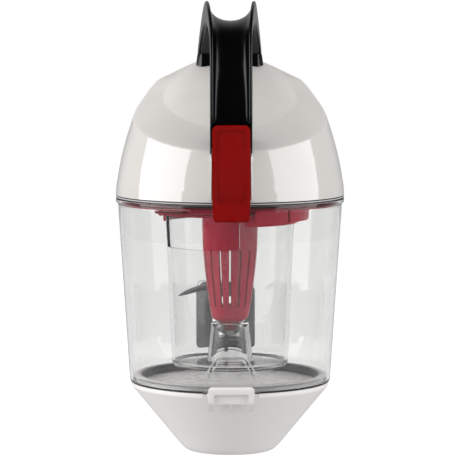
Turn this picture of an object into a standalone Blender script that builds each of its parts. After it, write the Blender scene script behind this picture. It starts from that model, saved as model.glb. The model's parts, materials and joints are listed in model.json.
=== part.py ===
"""Dust canister of a bagless vacuum cleaner, built as an assembly of separate parts.

Frame: metres, +Z up, the origin at the centre of the base, the front towards -Y.
All sizes below are in millimetres and are scaled by MM when a shape is made.
"""

import math

import bmesh
import bpy
from mathutils import Matrix, Vector

MM = 0.001
GAP = 0.35
MERGE = 0.00001

# Bin
BIN_TOP = 183.7
BIN_FLANGE_RADIUS = 82.5
BIN_FLANGE_BOTTOM = 178.6
BIN_BOTTOM = 52.0
BIN_TOP_RADIUS = 81.0
BIN_BOTTOM_RADIUS = 72.7
BIN_WALL = 2.0
PORT_X = -3.0
PORT_Z = 92.0
PORT_OPENING = 30.0
PORT_BOSS = 46.0
PORT_FACE_Y = 80.0

# Lid
LID_BOTTOM = 184.3
LID_WALL = 2.5
DOME = ((LID_BOTTOM, 82.5), (196.0, 81.9), (213.0, 78.5), (241.0, 70.3), (261.6, 63.0),
        (268.5, 60.0), (281.0, 48.0), (284.0, 44.0))
CREASE = ((-80.0, 220.3), (-8.6, 241.3), (18.0, 255.0), (30.0, 268.5), (41.0, 281.0),
          (50.0, 284.0))
OUTLET_Z = 215.0
OUTLET_WIDTH = 50.0
OUTLET_HEIGHT = 20.0
OUTLET_BORDER = 5.0
OUTLET_FACE_Y = 84.0

# Handle: an elliptical arch in the YZ plane
ARCH_Y = -21.0
ARCH_Z = 245.0
ARCH_REACH = 60.0
ARCH_RISE = 80.0
HANDLE_DEPTH = 12.0
HANDLE_FLOOR = 3.0
HANDLE_FLANGE = 2.5

# Release lever
LEVER_HALF = 13.3
LEVER_AXIS = (0.0, -81.0, 214.0)
CHEEK_HALF = 14.9

# Separator
FRAME_PLATE_BOTTOM = 175.6
FRAME_PLATE_TOP = 178.2
SKIRT_GAPS = ((-114, 18), (44.8, 47.4), (102, 112), (160, 200), (218.4, 223), (231, 233))
TRAY_RADIUS = 59.5
TRAY_TOP = 212.0
CUP_TOP = 174.9
CUP_TOP_RADIUS = 46.8
CUP_BOTTOM = 62.0
CUP_BOTTOM_RADIUS = 42.0
CUP_WINDOW_TURNS = (-81, 8)
CUP_WINDOW_BOTTOM = 149.0
CUP_WALL = 2.0
CONE_SLOTS = 16

# Bottom door
DOOR_RIM_RADIUS = 71.6
DOOR_RIM_TOP = 50.5
DOOR_SLOPE_TOP = 47.7
DOOR_BASE_RADIUS = 37.8
DOOR_SLOPE_BOTTOM = 6.6
DOOR_FLAT_RADIUS = 29.5
DOOR_WALL = 2.2
LATCH_HALF = 16.25
ARCH_FOOT = 48.2
LATCH_AXIS = (0.0, -72.8, 46.5)

# Hinge axes, all along X
LID_AXIS = (0.0, 87.0, 183.0)
DOOR_AXIS = (0.0, 78.0, 51.0)
KNUCKLE_RADIUS = 3.8
PIN_RADIUS = 1.5
SMALL_PIN_RADIUS = 0.8

# Screws: shank and bore radii, and the circles they stand on
SCREW_SHANK = 1.4
SCREW_BORE = SCREW_SHANK + GAP
GRILLE_SCREW_CIRCLE = 26.0
GRILLE_SCREW_TURNS = (90, 210, 330)
FLOOR_SCREW_CIRCLE = 54.0
FLOOR_SCREW_TURNS = (60, 180, 300)

# Round pieces: how many sides
LARGE = 36
MEDIUM = 24
SMALL = 10

WHITE = ((0.74, 0.72, 0.70), 0.3, 0.0)
LIGHT_GREY = ((0.55, 0.55, 0.55), 0.45, 0.0)
GREY = ((0.13, 0.13, 0.14), 0.45, 0.0)
BLACK = ((0.004, 0.005, 0.007), 0.35, 0.0)
RED = ((0.3, 0.005, 0.012), 0.35, 0.0)
CLEAR = ((0.85, 0.87, 0.88), 0.08, 0.0)
RUBBER = ((0.02, 0.02, 0.022), 0.7, 0.0)
FOAM = ((0.03, 0.03, 0.035), 0.95, 0.0)
PAPER = ((0.75, 0.74, 0.7), 0.9, 0.0)
STEEL = ((0.6, 0.6, 0.6), 0.3, 1.0)


def clear_scene():
    for item in list(bpy.data.objects):
        bpy.data.objects.remove(item, do_unlink=True)


def make_collection(name):
    collection = bpy.data.collections.new(name)
    bpy.context.scene.collection.children.link(collection)
    return collection


clear_scene()
PARTS = make_collection("dust_canister")
CUTTERS = make_collection("cutters")


# ---------------------------------------------------------------- helpers

def point(x, y, z):
    return Vector((x, y, z)) * MM


def interpolate(table, value):
    """Straight-line reading of a table of (value, result) pairs."""
    for (low, first), (high, second) in zip(table, table[1:]):
        if value <= high:
            share = max(0.0, (value - low) / (high - low))
            return first + (second - first) * share
    return table[-1][1]


def polar(radius, degrees):
    """A plan position: 0 degrees is the front, 90 the right side."""
    turn = math.radians(degrees)
    return radius * math.sin(turn), -radius * math.cos(turn)


def paint(obj, finish):
    colour, roughness, metallic = finish
    material = bpy.data.materials.new(obj.name + "_finish")
    material.use_nodes = True
    shader = material.node_tree.nodes["Principled BSDF"]
    shader.inputs["Base Color"].default_value = (*colour, 1.0)
    shader.inputs["Roughness"].default_value = roughness
    shader.inputs["Metallic"].default_value = metallic
    obj.data.materials.append(material)


def add_object(name, data, finish=None):
    """Link a new object: a part when it has a finish, and otherwise a cutter."""
    obj = bpy.data.objects.new(name, data)
    if finish:
        PARTS.objects.link(obj)
        paint(obj, finish)
    else:
        CUTTERS.objects.link(obj)
        obj.hide_render = True
        obj.display_type = "WIRE"
    return obj


def mesh_from(name, bm):
    bmesh.ops.recalc_face_normals(bm, faces=bm.faces)
    mesh = bpy.data.meshes.new(name)
    bm.to_mesh(mesh)
    bm.free()
    mesh.shade_smooth()
    mesh.set_sharp_from_angle(angle=math.radians(35))
    return mesh


def turned(name, profile, sides, finish=None):
    """A turned piece. The profile (radius, z) runs down its outer side."""
    on_axis = profile[0][0] == 0 and profile[-1][0] == 0
    count = len(profile)
    last = count - 1 if on_axis else count
    edges = [(i, (i + 1) % count) for i in range(last)]
    mesh = bpy.data.meshes.new(name)
    mesh.from_pydata([point(radius, 0, z) for radius, z in profile], edges, [])
    obj = add_object(name, mesh, finish)
    screw = obj.modifiers.new("turn", "SCREW")
    screw.axis = "Z"
    screw.steps = sides
    screw.render_steps = sides
    screw.use_merge_vertices = True
    screw.merge_threshold = MERGE
    screw.use_smooth_shade = True
    return obj


def boxes(name, corners, finish=None):
    """One mesh of one or more separate boxes, each given by its two corners."""
    bm = bmesh.new()
    for low, high in corners:
        size = point(*high) - point(*low)
        centre = (point(*high) + point(*low)) / 2
        place = Matrix.Translation(centre) @ Matrix.Diagonal((*size, 1.0))
        bmesh.ops.create_cube(bm, size=1.0, matrix=place)
    return add_object(name, mesh_from(name, bm), finish)


def rods(name, ends, radius, sides, finish=None):
    """One mesh of one or more separate cylinders, each between two points."""
    bm = bmesh.new()
    for start, end in ends:
        run = point(*end) - point(*start)
        turn = Vector((0, 0, 1)).rotation_difference(run).to_matrix().to_4x4()
        place = Matrix.Translation((point(*end) + point(*start)) / 2) @ turn
        bmesh.ops.create_cone(bm, cap_ends=True, segments=sides, radius1=radius * MM,
                              radius2=radius * MM, depth=run.length, matrix=place)
    return add_object(name, mesh_from(name, bm), finish)


def plate_mesh(outline, low, high, across):
    """A flat outline made solid from low to high along X, Y or Z ("across")."""
    curve = bpy.data.curves.new("outline", "CURVE")
    curve.dimensions = "2D"
    curve.fill_mode = "BOTH"
    curve.extrude = (high - low) / 2 * MM
    spline = curve.splines.new("POLY")
    spline.points.add(len(outline) - 1)
    for knot, (first, second) in zip(spline.points, outline):
        knot.co = (first * MM, second * MM, 0, 1)
    spline.use_cyclic_u = True
    flat = bpy.data.objects.new("outline", curve)
    CUTTERS.objects.link(flat)
    bpy.context.view_layer.update()
    mesh = bpy.data.meshes.new_from_object(flat.evaluated_get(
        bpy.context.evaluated_depsgraph_get()))
    bpy.data.objects.remove(flat, do_unlink=True)
    lift = Matrix.Translation((0, 0, (low + high) / 2 * MM))
    stand = {"x": Matrix(((0, 0, 1), (1, 0, 0), (0, 1, 0))),
             "y": Matrix(((1, 0, 0), (0, 0, 1), (0, 1, 0))),
             "z": Matrix.Identity(3)}[across]
    bm = bmesh.new()
    bm.from_mesh(mesh)
    bpy.data.meshes.remove(mesh)
    bmesh.ops.remove_doubles(bm, verts=bm.verts, dist=MERGE)
    bmesh.ops.transform(bm, matrix=stand.to_4x4() @ lift, verts=bm.verts)
    return bm


def plates(name, outline, spans, across, finish=None):
    """The same flat outline at one or more separate spans along one axis."""
    whole = bmesh.new()
    for low, high in spans:
        bm = plate_mesh(outline, low, high, across)
        piece = bpy.data.meshes.new(name)
        bm.to_mesh(piece)
        bm.free()
        whole.from_mesh(piece)
        bpy.data.meshes.remove(piece)
    return add_object(name, mesh_from(name, whole), finish)


def loft(name, rings, finish=None, tip=None):
    """A closed solid through rings of equal length, with a flat end or a tip."""
    bm = bmesh.new()
    loops = [[bm.verts.new(p * MM) for p in ring] for ring in rings]
    count = len(loops[0])
    for lower, upper in zip(loops, loops[1:]):
        for i in range(count):
            j = (i + 1) % count
            bm.faces.new((lower[i], lower[j], upper[j], upper[i]))
    bm.faces.new(reversed(loops[0]))
    if tip is None:
        bm.faces.new(loops[-1])
    else:
        close_with_tip(bm, loops[-1], tip)
    return add_object(name, mesh_from(name, bm), finish)


def close_with_tip(bm, loop, tip):
    peak = bm.verts.new(tip * MM)
    for i, vertex in enumerate(loop):
        bm.faces.new((vertex, loop[(i + 1) % len(loop)], peak))


def combine(obj, tool, operation):
    step = obj.modifiers.new(operation.lower(), "BOOLEAN")
    step.operation = operation
    step.solver = "EXACT"
    step.object = tool


def join(obj, tool):
    combine(obj, tool, "UNION")


def cut(obj, tool):
    combine(obj, tool, "DIFFERENCE")


def keep_inside(obj, tool):
    combine(obj, tool, "INTERSECT")


def spring(name, centre, radius, wire, turns, width, leg):
    """A torsion spring wound along X around centre, with two straight legs."""
    steps = 10
    total = int(turns * steps)
    points = []
    for i in range(total + 1):
        turn = 2 * math.pi * i / steps
        x = -width / 2 + width * i / total
        points.append((centre[0] + x, centre[1] + radius * math.cos(turn),
                       centre[2] + radius * math.sin(turn)))
    first, last = points[0], points[-1]
    points.insert(0, (first[0], first[1], first[2] - leg))
    points.append((last[0], last[1], last[2] + leg))
    curve = bpy.data.curves.new(name, "CURVE")
    curve.dimensions = "3D"
    curve.bevel_depth = wire * MM
    curve.bevel_resolution = 1
    curve.use_fill_caps = True
    spline = curve.splines.new("POLY")
    spline.points.add(len(points) - 1)
    for knot, place in zip(spline.points, points):
        knot.co = (*point(*place), 1)
    return add_object(name, curve, STEEL)


def screw_fastener(name, place, length, up=True):
    """A pan-head screw: its head below (or above) place, its shank going the other way."""
    profile = ((0, length), (SCREW_SHANK, length), (SCREW_SHANK, 0), (3.0, 0), (2.6, -1.7), (0, -1.7))
    obj = turned(name, profile, SMALL, STEEL)
    obj.location = point(*place)
    if not up:
        obj.rotation_euler = (math.pi, 0, 0)
    return obj


def arc(centre, radius, start, end, steps):
    """Points (a, b) along an arc, angles in degrees."""
    points = []
    for i in range(steps + 1):
        turn = math.radians(start + (end - start) * i / steps)
        points.append((centre[0] + radius * math.cos(turn),
                       centre[1] + radius * math.sin(turn)))
    return points


# ---------------------------------------------------------------- bin

def bin_radius(z):
    """Outer radius of the bin's tapered wall."""
    share = (z - BIN_BOTTOM) / (BIN_FLANGE_BOTTOM - BIN_BOTTOM)
    return BIN_BOTTOM_RADIUS + (BIN_TOP_RADIUS - BIN_BOTTOM_RADIUS) * share


def wall_core(name, low, high, offset):
    """A solid cone that follows the bin's wall, offset from its outside."""
    return turned(name, ((0, high), (bin_radius(high) + offset, high),
                         (bin_radius(low) + offset, low), (0, low)), LARGE)


def arch_rib():
    """The raised arch on the bin's front. Its two feet hang beside the door's latch."""
    outer = ((19.5, ARCH_FOOT), (19.5, 62.1), (10.4, 77.2), (7.6, 78.4))
    inner = ((16.7, ARCH_FOOT), (16.7, 61.2), (8.6, 74.2), (6.8, 75.2))
    outline = list(outer) + [(-x, z) for x, z in reversed(outer)]
    outline += list((-x, z) for x, z in inner) + [(x, z) for x, z in reversed(inner)]
    rib = plates("arch_rib", outline, ((-79, -60),), "y")
    inside = BIN_BOTTOM_RADIUS + 0.1
    shell = turned("arch_shell", ((bin_radius(82) + 2.0, 82), (bin_radius(52) + 2.0, 52),
                                  (bin_radius(52) + 2.0, 47), (inside, 47), (inside, 52.6),
                                  (bin_radius(52.6) - 1.0, 52.6), (bin_radius(82) - 1.0, 82)),
                   LARGE)
    keep_inside(rib, shell)
    return rib


def inner_brackets():
    """Two upright ribs on the inside of the bin's rear wall, on the right."""
    ribs = plates("inner_brackets", ((55.0, 62.0), (55.0, 86.0), (58.0, 89.0), (75.0, 89.0),
                                     (75.0, 62.0)), ((27.6, 29.4), (45.6, 47.4)), "x")
    keep_inside(ribs, turned("bracket_shell", (
        (bin_radius(95) - 1.0, 95), (bin_radius(55) - 1.0, 55), (bin_radius(55) - 6.5, 55),
        (bin_radius(95) - 6.5, 95)), LARGE))
    return ribs


def dust_bin():
    inner_bottom = BIN_BOTTOM_RADIUS - BIN_WALL
    inner_top = BIN_TOP_RADIUS - BIN_WALL
    obj = turned("dust_bin", ((BIN_FLANGE_RADIUS, BIN_TOP),
                              (BIN_FLANGE_RADIUS, BIN_FLANGE_BOTTOM),
                              (BIN_TOP_RADIUS, BIN_FLANGE_BOTTOM - 0.6),
                              (BIN_BOTTOM_RADIUS, BIN_BOTTOM),
                              (inner_bottom, BIN_BOTTOM),
                              (inner_top, BIN_FLANGE_BOTTOM),
                              (inner_top, BIN_TOP)), LARGE, CLEAR)
    core = wall_core("bin_core", 40, 178, -1.0)
    half = PORT_BOSS / 2
    boss = boxes("port_boss", (((PORT_X - half, 60, PORT_Z - half),
                                (PORT_X + half, PORT_FACE_Y, PORT_Z + half)),))
    cut(boss, core)
    _, axis_y, axis_z = DOOR_AXIS
    ear = [(62.0, 62.0), (62.0, 52.6)]
    ear += arc((axis_y, axis_z), KNUCKLE_RADIUS, 155, 360, 8) + [(81.8, 54.0)]
    ears = plates("bin_ears", ear, ((-27, -18), (18, 27)), "x")
    cut(ears, core)
    for tool in (boss, ears, arch_rib(), inner_brackets()):
        join(obj, tool)
    hole = PORT_OPENING / 2
    cut(obj, boxes("port_hole", (((PORT_X - hole, 60, PORT_Z - hole),
                                  (PORT_X + hole, 90, PORT_Z + hole)),)))
    cut(obj, rods("door_pin_bore", (((-30, axis_y, axis_z), (30, axis_y, axis_z)),),
                  PIN_RADIUS + GAP, SMALL))
    return obj


def inlet_seal():
    outer = PORT_BOSS / 2 - 1.0
    inner = PORT_OPENING / 2 + 2.0
    face = PORT_FACE_Y + GAP
    obj = boxes("inlet_seal", (((PORT_X - outer, face, PORT_Z - outer),
                                (PORT_X + outer, face + 2.0, PORT_Z + outer)),), RUBBER)
    cut(obj, boxes("inlet_seal_hole", (((PORT_X - inner, 70, PORT_Z - inner),
                                        (PORT_X + inner, 90, PORT_Z + inner)),)))


def hinge_pin(name, axis, half, radius=PIN_RADIUS):
    _, y, z = axis
    return rods(name, (((-half, y, z), (half, y, z)),), radius, SMALL, STEEL)


# ---------------------------------------------------------------- separator

def sector(inner, outer, start, end):
    """Outline of a ring's part between two plan angles."""
    steps = max(1, round((end - start) / 10))
    turns = [start + (end - start) * i / steps for i in range(steps + 1)]
    return [polar(outer, turn) for turn in turns] + [polar(inner, turn)
                                                     for turn in reversed(turns)]


def separator_frame():
    obj = turned("separator_frame", (
        (81.0, 185.2), (81.0, BIN_TOP + GAP), (75.2, BIN_TOP + GAP),
        (75.2, FRAME_PLATE_TOP), (78.3, FRAME_PLATE_TOP), (78.3, FRAME_PLATE_BOTTOM),
        (57.4, FRAME_PLATE_BOTTOM), (57.0, 168.6), (55.2, 168.6),
        (55.2, FRAME_PLATE_BOTTOM), (49.4, FRAME_PLATE_BOTTOM), (49.2, 166.0),
        (47.3, 166.0), (47.3, FRAME_PLATE_BOTTOM), (17.0, FRAME_PLATE_BOTTOM),
        (17.0, FRAME_PLATE_TOP), (TRAY_RADIUS - 2.0, FRAME_PLATE_TOP),
        (TRAY_RADIUS - 2.0, TRAY_TOP), (TRAY_RADIUS, TRAY_TOP),
        (TRAY_RADIUS, FRAME_PLATE_TOP), (73.0, FRAME_PLATE_TOP), (73.0, 185.2)),
        LARGE, RED)
    _, axis_y, axis_z = LID_AXIS
    ear = [(77.5, 184.9), (77.5, 184.2), (83.3, 184.2)]
    ear += arc((axis_y, axis_z), KNUCKLE_RADIUS - 0.3, 175, 450, 9)
    ear += [(84.5, 186.2), (81.8, 186.2), (81.8, 184.9)]
    join(obj, plates("frame_ears", ear, ((-20, -14), (14, 20)), "x"))
    for i, (start, end) in enumerate(SKIRT_GAPS):
        cut(obj, plates("skirt_gap_%d" % (i + 1), sector(54.2, 58.4, start, end),
                        ((165, FRAME_PLATE_BOTTOM - 0.2),), "z"))
    cut(obj, plates("socket_gap", sector(46.5, 50.2, -100, 14),
                    ((165, FRAME_PLATE_BOTTOM - 0.2),), "z"))
    cut(obj, rods("lid_pin_bore", (((-25, axis_y, axis_z), (25, axis_y, axis_z)),),
                  PIN_RADIUS + GAP, SMALL))
    cut(obj, grille_bores("frame_screw_bores", 170))
    return obj


def grille_bores(name, low):
    ends = []
    for degrees in GRILLE_SCREW_TURNS:
        x, y = polar(GRILLE_SCREW_CIRCLE, degrees)
        ends.append(((x, y, low), (x, y, 180)))
    return rods(name, ends, SCREW_BORE, SMALL)


def cone_grille():
    obj = turned("cone_grille", (
        (30.0, 175.2), (30.0, 173.2), (20.4, 173.2), (19.8, 147.6), (18.6, 134.0),
        (16.0, 113.0), (13.3, 95.8), (6.8, 93.4), (5.6, 89.6), (2.4, 87.2), (0.8, 87.0),
        (0.8, 89.0), (3.4, 91.4), (4.6, 95.2), (11.3, 97.6), (14.0, 113.0), (16.6, 134.0),
        (17.8, 147.6), (18.2, 175.2)), MEDIUM, RED)
    slots = bmesh.new()
    for i in range(CONE_SLOTS):
        turn = Matrix.Rotation(2 * math.pi * i / CONE_SLOTS, 4, "Z")
        place = Matrix.Translation(point(16.5, 0, 126)) @ Matrix.Diagonal(
            (*point(12, 1.6, 42), 1.0))
        bmesh.ops.create_cube(slots, size=1.0, matrix=turn @ place)
    cut(obj, add_object("cone_slots", mesh_from("cone_slots", slots)))
    cut(obj, grille_bores("grille_screw_bores", 170))
    return obj


def cup_radius(z):
    share = (z - CUP_BOTTOM) / (CUP_TOP - CUP_BOTTOM)
    return CUP_BOTTOM_RADIUS + (CUP_TOP_RADIUS - CUP_BOTTOM_RADIUS) * share


def cyclone_cup():
    floor = CUP_BOTTOM + 2.4
    obj = turned("cyclone_cup", (
        (0, floor), (cup_radius(floor) - CUP_WALL - 1.0, floor),
        (cup_radius(floor + 1) - CUP_WALL, floor + 1.0), (CUP_TOP_RADIUS - CUP_WALL, CUP_TOP),
        (CUP_TOP_RADIUS, CUP_TOP), (cup_radius(CUP_BOTTOM + 1), CUP_BOTTOM + 1.0),
        (CUP_BOTTOM_RADIUS - 1.0, CUP_BOTTOM), (0, CUP_BOTTOM)), LARGE, CLEAR)
    cut(obj, plates("cup_window", sector(30, 60, *CUP_WINDOW_TURNS),
                    ((CUP_WINDOW_BOTTOM, CUP_TOP + 5),), "z"))
    hole = PORT_OPENING / 2
    cut(obj, boxes("cup_inlet", (((PORT_X - hole, 25, PORT_Z - hole),
                                  (PORT_X + hole, 60, PORT_Z + hole)),)))
    return obj


def cup_seal():
    turned("cup_seal", ((54.6, 175.2), (54.6, 173.0), (49.9, 173.0), (49.9, 175.2)),
           MEDIUM, RUBBER)


def cone_support():
    base = CUP_BOTTOM + 2.4 + GAP
    turned("cone_support", (
        (0, 85.6), (3.4, 86.0), (7.2, 88.6), (8.6, 93.2), (13.5, 93.2), (16.6, base),
        (14.8, base), (11.9, 90.6), (9.4, 88.6), (7.6, 86.0), (3.4, 84.0), (0, 83.6)),
        MEDIUM, CLEAR)


def inlet_hood():
    """Grey frame that saddles the cup's rear, with its duct to the bin's port."""
    half = 22.5
    duct = PORT_OPENING / 2 + 2.2
    obj = boxes("inlet_hood", (((PORT_X - half, 30, PORT_Z - half),
                                (PORT_X + half, 49, PORT_Z + half)),), GREY)
    join(obj, boxes("hood_duct", (((PORT_X - duct, 44, PORT_Z - duct),
                                   (PORT_X + duct, 74, PORT_Z + duct)),)))
    low, high = 50, 130
    cut(obj, turned("cup_clearance", ((0, high), (cup_radius(high) + GAP, high),
                                      (cup_radius(low) + GAP, low), (0, low)), LARGE))
    cut(obj, turned("bin_clearance", (
        (95, high), (95, low), (bin_radius(low) - BIN_WALL - 0.6, low),
        (bin_radius(high) - BIN_WALL - 0.6, high)), LARGE))
    hole = PORT_OPENING / 2
    bar = 1.6
    cut(obj, boxes("hood_opening", (
        ((PORT_X - hole, 20, PORT_Z - hole), (PORT_X - bar, 90, PORT_Z + hole)),
        ((PORT_X + bar, 20, PORT_Z - hole), (PORT_X + hole, 90, PORT_Z + hole)))))


def swirl_vane():
    """Fin along the inside of the cup's wall, from the hood's top round to the left."""
    rings = []
    steps = 14
    for i in range(steps + 1):
        share = i / steps
        degrees = -150 + 38 * share
        height = 115.0 - 4.5 * share
        outer = cup_radius(height) - CUP_WALL - GAP - 0.2
        inner = outer - 9.0 + 6.5 * share
        thick = 1.6 - 0.9 * share
        section = []
        for radius, lift in ((inner, -thick), (outer, -thick), (outer, thick), (inner, thick)):
            x, y = polar(radius, degrees)
            section.append(Vector((x, y, height + lift)))
        rings.append(section)
    loft("swirl_vane", rings, GREY)


def mouth_gasket():
    turned("mouth_gasket", (
        (76.6, 183.4), (78.6, 182.8), (78.6, 181.6), (76.9, 181.2), (76.9, 180.6),
        (78.6, 180.2), (78.6, 178.9), (76.6, 178.6), (75.5, 178.6), (75.5, 183.4)),
        LARGE, RUBBER)


def pleated_filter():
    radius = 51.0
    obj = turned("pleated_filter", ((0, 194.0), (radius, 194.0), (radius, 182.0), (0, 182.0)),
                 MEDIUM, PAPER)
    pleats = 9
    pitch = 2 * radius / pleats
    depth = 10.0
    for side, base, tip in (("upper", 196.0, 194.0 - depth), ("lower", 180.0, 182.0 + depth)):
        grooves = bmesh.new()
        shift = 0.0 if side == "upper" else pitch / 2
        for i in range(pleats - 1):
            x = -radius + pitch * (i + 1) - pitch / 2 + shift
            outline = ((x - pitch * 0.42, base), (x + pitch * 0.42, base), (x, tip))
            bm = plate_mesh(outline, -60, 60, "y")
            groove = bpy.data.meshes.new("groove")
            bm.to_mesh(groove)
            bm.free()
            grooves.from_mesh(groove)
            bpy.data.meshes.remove(groove)
        name = side + "_pleat_grooves"
        cut(obj, add_object(name, mesh_from(name, grooves)))


def filter_frame():
    obj = turned("filter_frame", ((57.0, 195.6), (57.0, 178.6), (51.4, 178.6), (51.4, 181.0),
                                  (51.4, 195.6)), MEDIUM, LIGHT_GREY)
    join(obj, boxes("filter_bars", (((-52.5, -1.5, 178.6), (52.5, 1.5, 181.0)),)))


def foam_filter():
    turned("foam_filter", ((0, 210.5), (53.5, 210.5), (56.0, 208.5), (56.8, 204.0),
                           (56.4, 197.5), (55.0, 196.0), (0, 196.0)), MEDIUM, FOAM)


# ---------------------------------------------------------------- lid

def dome_radius(z):
    return interpolate(DOME, z)


def crease_point(degrees, grow):
    """Where the sloped roof meets the skirt, in one direction from the axis."""
    low, high = 200.0, 284.0
    for _ in range(30):
        z = (low + high) / 2
        y = -dome_radius(z) * math.cos(math.radians(degrees))
        if interpolate(CREASE, y) > z:
            low = z
        else:
            high = z
    x, y = polar(dome_radius(z) + grow, degrees)
    return Vector((x, y, z + grow))


def cover_rings(sides, grow):
    """Rings of the lid's outer surface, from its bottom edge to its peak."""
    angles = [360.0 * i / sides for i in range(sides)]
    creases = [crease_point(degrees, grow) for degrees in angles]
    rings = []
    for share in (0.0, 0.3, 0.65):
        ring = []
        for degrees, crease in zip(angles, creases):
            z = LID_BOTTOM + (crease.z - LID_BOTTOM) * share
            x, y = polar(dome_radius(z) + grow, degrees)
            ring.append(Vector((x, y, z)))
        rings.append(ring)
    rings.append(creases)
    edge = []
    top = []
    for degrees, crease in zip(angles, creases):
        back = (1 - math.cos(math.radians(degrees))) / 2
        inset = interpolate(((0.0, 29.5), (0.5, 21.0), (0.75, 12.0), (1.0, 6.0)), back)
        plan = math.hypot(crease.x, crease.y)
        scale = 1 - inset / plan
        rise = inset * interpolate(((0.0, 0.49), (0.5, 0.49), (0.8, 0.1), (1.0, 0.0)), back)
        edge.append(Vector((crease.x * scale, crease.y * scale, crease.z + rise)))
        x, y = polar(1.0, degrees)
        top.append(Vector((22 * x, 27 + 12 * y, 281.3 - 2.6 * math.cos(math.radians(degrees))
                           + grow)))
    rings.append(edge)
    middle = []
    for low, high, degrees in zip(edge, top, angles):
        bulge = 2.5 + 2.5 * math.cos(math.radians(degrees))
        middle.append((low + high) / 2 + Vector((0, 0, bulge)))
    rings.append(middle)
    rings.append(top)
    return rings, Vector((0, 27, 283.2 + grow))


def cover_solid(name, sides, grow, lower=0.0):
    rings, peak = cover_rings(sides, grow)
    for corner in rings[0]:
        corner.z -= lower
    return loft(name, rings, tip=peak)


def top_cover():
    rings, peak = cover_rings(LARGE, 0.0)
    bm = bmesh.new()
    loops = [[bm.verts.new(p * MM) for p in ring] for ring in rings]
    for lower, upper in zip(loops, loops[1:]):
        for i in range(LARGE):
            j = (i + 1) % LARGE
            bm.faces.new((lower[i], lower[j], upper[j], upper[i]))
    close_with_tip(bm, loops[-1], peak)
    mesh = bpy.data.meshes.new("top_cover")
    bm.to_mesh(mesh)
    bm.free()
    obj = add_object("top_cover", mesh, WHITE)
    wall = obj.modifiers.new("wall", "SOLIDIFY")
    wall.thickness = LID_WALL * MM
    wall.offset = -1.0
    wall.use_even_offset = True

    core = cover_solid("cover_core", LARGE, -1.2, 20.0)
    add_cover_fittings(obj, core)
    cut_cover_openings(obj)
    return obj


def add_cover_fittings(obj, core):
    _, lever_y, lever_z = LEVER_AXIS
    cheek = ((-78.0, 188.0), (-86.6, 188.0), (-85.6, lever_z + 2), (-83.4, lever_z + 6),
             (-70.0, lever_z + 6), (-70.0, 200.0))
    cheeks = plates("cover_cheeks", cheek, ((-CHEEK_HALF, -LEVER_HALF - GAP),
                                            (LEVER_HALF + GAP, CHEEK_HALF)), "x")
    half_width = OUTLET_WIDTH / 2 + OUTLET_BORDER
    half_height = OUTLET_HEIGHT / 2 + OUTLET_BORDER
    boss = boxes("outlet_boss", (((-half_width, 50, OUTLET_Z - half_height),
                                  (half_width, OUTLET_FACE_Y, OUTLET_Z + half_height)),))
    _, axis_y, axis_z = LID_AXIS
    knuckle = [(74.0, 193.0), (74.0, LID_BOTTOM + 2.4), (82.9, LID_BOTTOM + 2.4)]
    knuckle += arc((axis_y, axis_z), KNUCKLE_RADIUS - 0.3, 170, 400, 8)
    ear = plates("cover_knuckle", knuckle, ((-13.5, 13.5),), "x")
    for tool in (cheeks, boss, ear):
        cut(tool, core)
        join(obj, tool)
    bosses = rods("cover_screw_bosses", [((x, y, low), (x, y, high))
                                         for x, y, low, high in handle_screw_places()],
                  4.6, SMALL)
    keep_inside(bosses, core)
    join(obj, bosses)


def handle_screw_places():
    """Plan position, underside and top of the boss for each handle screw."""
    return ((-8.5, -65.0, 215.5, 235.0), (8.5, -65.0, 215.5, 235.0),
            (-13.0, 28.0, 262.0, 290.0), (13.0, 28.0, 262.0, 290.0))


def cut_cover_openings(obj):
    rebate = turned("cover_rebate", ((0, 185.7), (81.4, 185.7), (81.4, 180), (0, 180)), LARGE)
    cut(obj, rebate)
    cut(obj, boxes("cover_notches", (((-20.4, 70, 180), (-13.8, 95, 187.6)),
                                     ((13.8, 70, 180), (20.4, 95, 187.6)))))
    half_width = OUTLET_WIDTH / 2
    half_height = OUTLET_HEIGHT / 2
    cut(obj, boxes("outlet_hole", (((-half_width, 40, OUTLET_Z - half_height),
                                    (half_width, 95, OUTLET_Z + half_height)),)))
    _, lever_y, lever_z = LEVER_AXIS
    cut(obj, rods("lever_pin_bore", (((-20, lever_y, lever_z), (20, lever_y, lever_z)),),
                  SMALL_PIN_RADIUS + GAP, SMALL))
    _, axis_y, axis_z = LID_AXIS
    cut(obj, rods("cover_pin_bore", (((-25, axis_y, axis_z), (25, axis_y, axis_z)),),
                  PIN_RADIUS + GAP, SMALL))
    cut(obj, rods("cover_screw_bores", [((x, y, low - 2), (x, y, high + 4))
                                        for x, y, low, high in handle_screw_places()],
                  SCREW_BORE, SMALL))


def arch_frame(turn):
    """A point of the handle's outer curve and the direction into the arch."""
    if turn > 180:
        fall = turn - 180
        return Vector((0, ARCH_Y - ARCH_REACH + 0.115 * fall, ARCH_Z - fall)), Vector((0, 1, 0))
    angle = math.radians(turn)
    place = Vector((0, ARCH_Y + ARCH_REACH * math.cos(angle),
                    ARCH_Z + ARCH_RISE * math.sin(angle)))
    inward = Vector((0, -math.cos(angle) / ARCH_REACH, -math.sin(angle) / ARCH_RISE))
    return place, inward.normalized()


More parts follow.
